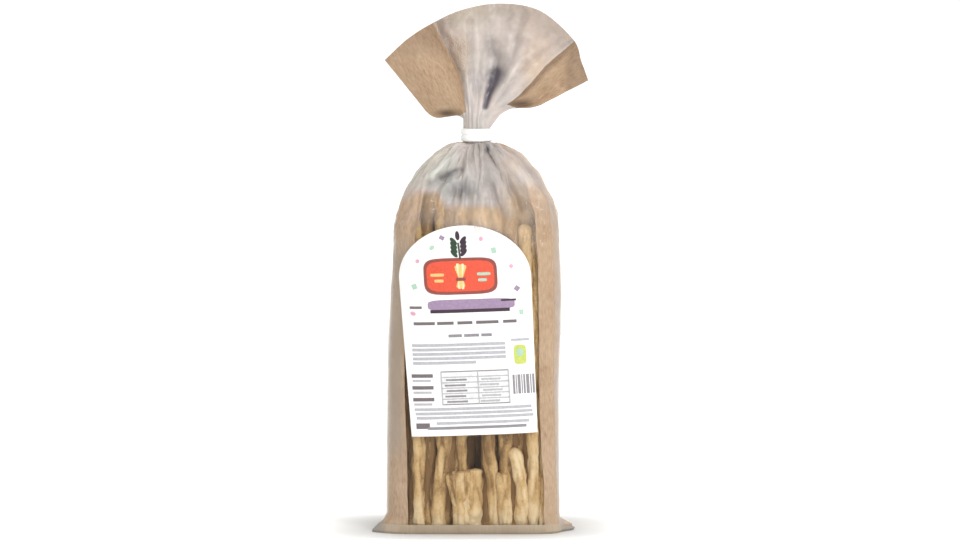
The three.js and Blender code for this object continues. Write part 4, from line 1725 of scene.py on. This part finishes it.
@dataclass
class LabelPrint:
    """The print on the label: plain bars, ovals and fields of colour, none of them words."""

    label: ArchedLabel
    lift: float = 0.05
    layer: float = 0.035
    cell: float = 2.2
    most_cells: tuple[int, int] = (24, 14)

    def emblem(self) -> list[Patch]:
        """A sheaf of breadsticks on a red field under an ear of wheat, with coloured dots around it.

        Returns:
            The fields, the lowest first.
        """
        soft, oval = Outline.SOFT, Outline.OVAL
        patches = [
            Patch(Ink.BRICK, -3, 107.5, 49, 24.5, 0, soft), Patch(Ink.RED, -3, 107.5, 45, 20.5, 0, soft),
            Patch(Ink.STRAW, -18.5, 108.6, 9, 2, 0, soft), Patch(Ink.STRAW, -17.5, 104.6, 6, 2, 0, soft),
            Patch(Ink.SAGE, 12.5, 108.6, 9, 2, 0, soft), Patch(Ink.SAGE, 11.5, 104.6, 6, 2, 0, soft),
            Patch(Ink.GREEN, -3, 124.5, 1.2, 11, 4),
        ]
        for turn, high, ink in ((-22, 16, Ink.STRAW), (20, 15, Ink.STRAW), (-11, 17, Ink.CREAM),
                                (10, 17.5, Ink.CREAM), (0, 16, Ink.STRAW)):
            lean = math.radians(turn)
            across, up = -3 - 1.4 * math.sin(lean), 106 + 1.4 * math.cos(lean)
            patches.append(Patch(ink, across, up, 2.3, high, turn, soft))
        patches.append(Patch(Ink.BRICK, -3, 105.4, 6.4, 2.2, 0, soft))
        for i in range(4):
            height = 122.6 + 2.8 * i
            patches.append(Patch(Ink.GREEN, -6.4, height, 6.2, 2.8, 130, oval))
            patches.append(Patch(Ink.PLUM, 0.0, height + 0.6, 6.2, 2.8, 50, oval))
        patches.append(Patch(Ink.PLUM, -3.6, 134.6, 2.9, 6.2, 4, oval))
        dots = ((-31, 118, Ink.ROSE), (-34, 101, Ink.SAGE), (-21, 127, Ink.SAGE), (-14, 133.5, Ink.MAUVE),
                (12, 132, Ink.ROSE), (20, 124, Ink.SAGE), (31, 113, Ink.ROSE), (34, 98, Ink.MAUVE),
                (-36, 83, Ink.ROSE), (36, 82, Ink.SAGE))
        for i, (across, up, ink) in enumerate(dots):
            kind = oval if i % 2 == 0 else Outline.BAR
            patches.append(Patch(ink, across, up, 2.7 + i % 3 * 0.5, 2.7 + i % 2 * 0.6, 20 * i, kind))
        return patches

    def title(self) -> list[Patch]:
        """A mauve strip with a dark edge, and two rows of short grey bars under it.

        Returns:
            The fields, the lowest first.
        """
        patches = [
            Patch(Ink.MAUVE, 3, 88.3, 58, 7.4, 0, Outline.SOFT), Patch(Ink.PLUM, 2, 84.2, 53, 2.3),
            Patch(Ink.PLUM, 28, 90.6, 10, 1.3), Patch(Ink.DARK_GREY, -34, 87, 8, 1.8),
        ]
        for across, width in ((-29, 14), (-15, 11), (-2, 10), (13, 15), (28, 9)):
            patches.append(Patch(Ink.DARK_GREY, across, 76.2, width, 2.1))
        for across, width in ((-9, 9), (2, 10), (12, 7)):
            patches.append(Patch(Ink.GREY, across, 67.6, width, 2.0))
        return patches

    def small_fields(self) -> list[Patch]:
        """Rows of fine grey lines, a green field, a ruled table and a block of upright bars.

        Returns:
            The fields, the lowest first.
        """
        patches = []
        for i in range(5):
            patches.append(Patch(Ink.PALE_GREY, -7 - (i == 4) * 10, 61.5 - 3 * i, 62 - (i == 4) * 20, 2.0))
        patches += [
            Patch(Ink.PALE_GREY, 34, 63.5, 12, 1.6), Patch(Ink.LIME, 33.5, 53.5, 8.2, 13, 0, Outline.SOFT),
            Patch(Ink.SAGE, 33.5, 55, 4.6, 5.4, 0, Outline.OVAL), Patch(Ink.MIST, 2.5, 32.4, 45, 22.4),
        ]
        for up in (41, 33, 25):
            patches.append(Patch(Ink.DARK_GREY, -32.5, up, 14, 2.4))
            patches.append(Patch(Ink.PALE_GREY, -33, up - 3.3, 12, 1.5))
        for i in range(7):
            patches.append(Patch(Ink.GREY if i in (0, 6) else Ink.PALE_GREY, 2.5, 43.5 - 3.7 * i, 45, 0.8))
            if 0 < i < 6:
                patches.append(Patch(Ink.GREY, -11 + i % 2, 41.6 - 3.7 * i, 14, 1.3))
                patches.append(Patch(Ink.PALE_GREY, 14 - i % 3, 41.6 - 3.7 * i, 13, 1.3))
        for across in (-20, 4.5, 25):
            patches.append(Patch(Ink.PALE_GREY, across, 32.4, 0.7, 22.6))
        widths = (1.4, 0.7, 1.8, 0.7, 1.2, 2.0, 0.8, 1.4)
        across = 27.6
        for width in widths:
            patches.append(Patch(Ink.GREY, across + width / 2, 33.5, width, 13))
            across += width + 0.62
        return patches

    def foot(self) -> list[Patch]:
        """Rows of pale lines over a small dark field.

        Returns:
            The fields, the lowest first.
        """
        patches = []
        for i in range(3):
            patches.append(Patch(Ink.PALE_GREY, 0.5 * i, 18.2 - 2.9 * i, 78, 1.9))
        patches += [Patch(Ink.DARK_GREY, -34, 7, 9, 3.8), Patch(Ink.PALE_GREY, 6, 8.6, 62, 1.9),
                    Patch(Ink.GREY, 2, 5.3, 66, 1.9)]
        return patches

    def field_mesh(self, patch: Patch, order: int) -> Object:
        """Makes one field from a grid that is rounded to its outline and laid on the label.

        Args:
            patch: The field.
            order: How many earlier fields of its group it may lie over.

        Returns:
            The field.
        """
        most_columns, most_rows = self.most_cells
        columns = int(min(most_columns, max(3, patch.width / self.cell))) + 1
        rows = int(min(most_rows, max(3, patch.height / self.cell))) + 1
        if patch.outline is not Outline.BAR:
            columns, rows = max(columns, 10), max(rows, 6)
        piece = made(f"field_{patch.ink.value.name}", bpy.ops.mesh.primitive_grid_add,
                     x_subdivisions=columns, y_subdivisions=rows, size=2)
        flat = corners(piece)
        x, y = flat[:, 0], flat[:, 1]
        if patch.outline is not Outline.BAR:
            power = patch.outline.value
            ring = np.maximum(np.abs(x), np.abs(y))
            far = (np.abs(x) ** power + np.abs(y) ** power) ** (1 / power)
            x, y = x * ring / far.clip(1e-6), y * ring / far.clip(1e-6)
        across, up = x * patch.width / 2, y * patch.height / 2
        turn = math.radians(patch.turn)
        lift = self.label.gap + self.label.thickness + self.lift + self.layer * order
        places = self.label.on_label(
            patch.across + across * math.cos(turn) - up * math.sin(turn),
            patch.up + across * math.sin(turn) + up * math.cos(turn), lift)
        place_corners(piece, places * MM)
        return piece

    def build(self) -> Object:
        """Makes all fields and joins them into one piece with a material for each ink.

        Returns:
            The print.
        """
        finishes = {ink: ink.value.material() for ink in Ink}
        fields = []
        for group in (self.emblem(), self.title(), self.small_fields(), self.foot()):
            for i, patch in enumerate(group):
                piece = self.field_mesh(patch, sum(self.covers(other, patch) for other in group[:i]))
                piece.data.materials.append(finishes[patch.ink])
                fields.append(piece)
        return join(fields, "label_print")

    @staticmethod
    def covers(low: Patch, high: Patch) -> bool:
        """Whether two fields may lie over each other.

        Args:
            low: The one that was printed first.
            high: The other one.

        Returns:
            True unless they lie clear of each other.
        """
        wide = (max(low.width, low.height) + max(high.width, high.height)) / 2
        if low.turn == high.turn == 0:
            return (abs(low.across - high.across) < (low.width + high.width) / 2
                    and abs(low.up - high.up) < (low.height + high.height) / 2)
        return math.hypot(low.across - high.across, low.up - high.up) < wide


# ---- Studio -------------------------------------------------------------------------------------


@dataclass
class Studio:
    """A pale floor, soft light and the camera."""

    target: tuple[float, float, float] = (4.8, -5.0, 177.5)
    distance: float = 2.0
    elevation: float = 5.0
    frame_width: float = 652.8
    sensor: float = 36.0
    sky_strength: float = 0.92
    sky_slope: tuple[float, float, float] = (0.24, 0.28, 0.0)
    table: str = "D2D2D0"
    table_roughness: float = 0.9
    table_size: float = 60.0
    painted_shadow_oval: Pair = (87.0, 43.5)
    softboxes: tuple = (
        ("key_right", (1.0, -1.3, 0.9), (0.35, 1.2), 11),
        ("card_above", (0.1, -1.1, 1.5), (1.0, 0.35), 5),
        ("strip_left", (-1.1, -1.0, 0.5), (0.14, 1.1), 2),
    )

    def floor(self) -> Object:
        """A wide white table that glows more with distance from the bag, so that the dim patch round its foot
        is a painted contact shadow.

        Returns:
            The table.
        """
        piece = made("studio_floor", bpy.ops.mesh.primitive_plane_add, size=self.table_size)
        recipe = Recipe("studio_floor")
        wide, deep = self.painted_shadow_oval
        near = recipe.mapped(recipe.in_space, (1 / (wide * MM), 1 / (deep * MM), 1))
        square = add_node(recipe.tree, "ShaderNodeVectorMath", {0: near, 1: near}, operation="MULTIPLY")
        reach = add_node(recipe.tree, "ShaderNodeVectorMath", {0: square.outputs[0]}, operation="LENGTH")
        # The glow is nothing near the bag and grows outwards: the dim patch round the foot is a painted
        # contact shadow.
        glow_past_shadow = add_node(recipe.tree, "ShaderNodeMapRange", {
            "Value": reach.outputs["Value"], "From Min": 0.5, "From Max": 1.7, "To Min": 0.0, "To Max": 0.5})
        white = recipe.surface(linear(self.table), self.table_roughness, **{
            "Emission Color": (1, 1, 1, 1), "Emission Strength": glow_past_shadow.outputs[0]})
        piece.data.materials.append(recipe.finished(white))
        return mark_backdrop(piece)

    def sky(self) -> None:
        """White light from all around, stronger from the right and from behind than from the left."""
        world = bpy.data.worlds.new("studio_white")
        world.use_nodes = True
        tree = world.node_tree
        direction = add_node(tree, "ShaderNodeTexCoord").outputs["Generated"]
        slope = add_node(tree, "ShaderNodeVectorMath", {
            0: direction, 1: self.sky_slope}, operation="DOT_PRODUCT")
        strength = add_node(tree, "ShaderNodeMath", {
            0: slope.outputs["Value"], 1: self.sky_strength}, operation="ADD")
        background = tree.nodes["Background"].inputs
        tree.links.new(strength.outputs[0], background["Strength"])
        background["Color"].default_value = (1, 1, 1, 1)
        bpy.context.scene.world = world

    def softbox(self, name: str, place: tuple, size: tuple, power: float) -> None:
        """A rectangular soft light that faces the middle of the bag.

        Args:
            name: The light's name.
            place: Where it hangs, in metres.
            size: Its width and height, in metres.
            power: In watts.
        """
        light = made(name, bpy.ops.object.light_add, type="AREA", location=place)
        light.data.shape = "RECTANGLE"
        light.data.size, light.data.size_y = size
        light.data.energy = power
        aim = Vector(self.target) * MM - Vector(place)
        light.rotation_euler = aim.to_track_quat("-Z", "Y").to_euler()

    def camera(self) -> None:
        """The camera, straight in front and a little above."""
        tilt = math.radians(self.elevation)
        target = Vector(self.target) * MM
        place = target + self.distance * Vector((0, -math.cos(tilt), math.sin(tilt)))
        camera = made("front_camera", bpy.ops.object.camera_add, location=place)
        camera.rotation_euler = (target - place).to_track_quat("-Z", "Y").to_euler()
        camera.data.sensor_width = self.sensor
        camera.data.lens = self.sensor * self.distance / (self.frame_width * MM)
        camera.data.clip_end = 100
        bpy.context.scene.camera = camera

    def build(self) -> None:
        """Sets the whole studio up."""
        self.floor()
        self.sky()
        for light in self.softboxes:
            self.softbox(*light)
        self.camera()
        bpy.context.scene.view_settings.view_transform = "Standard"


# ---- The whole bag ------------------------------------------------------------------------------


def main() -> None:
    """Builds and dresses the bag in order, and reports each piece."""
    logging.basicConfig(level=logging.INFO, format="%(name)s %(message)s")
    form = BagForm()
    kraft, film, crust = KraftPaper().material(), WindowFilm().material(), BakedCrust().material()
    walls = BagWalls(form, form.wall())
    hand_in(walls.paper_shell(kraft), "kraft_paper", "bag")
    hand_in(walls.window(film), "window_film", "bag")
    # A greyer copy of the paper for the hem, partly painted shade low down by the table.
    shaded_hem_paper = KraftPaper("kraft_paper_fold_shaded", base="AD9C86", dark="9C8B76", pale="BCAC98", painted_shade="8A8682")
    hand_in(walls.block_bottom(shaded_hem_paper.material()), "kraft_paper", "bag")
    sticks = Breadsticks(form)
    hand_in(sticks.bundle("breadsticks_front", sticks.leaning(), crust), "baked_crust", "bag")
    hand_in(sticks.bundle("breadsticks_broken", sticks.broken(), crust), "baked_crust", "bag")
    hand_in(sticks.bundle("breadsticks_behind", sticks.packed(), crust), "baked_crust", "bag")
    label = ArchedLabel(form)
    hand_in(label.sheet(CoatedPaper("label_paper").material()), "label_paper", "label")
    hand_in(LabelPrint(label).build(), "label_paper", "label")
    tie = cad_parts["neck_tie"]
    tie.data.materials.clear()
    tie_paper = CoatedPaper("tie_paper", base="F8F8F6", shade="F0F0EE", roughness=0.6)
    tie.data.materials.append(tie_paper.material())
    LOG.info("%s: the CAD node, dressed", tie.name)
    Studio().build()


if __name__ == "__main__":
    main()
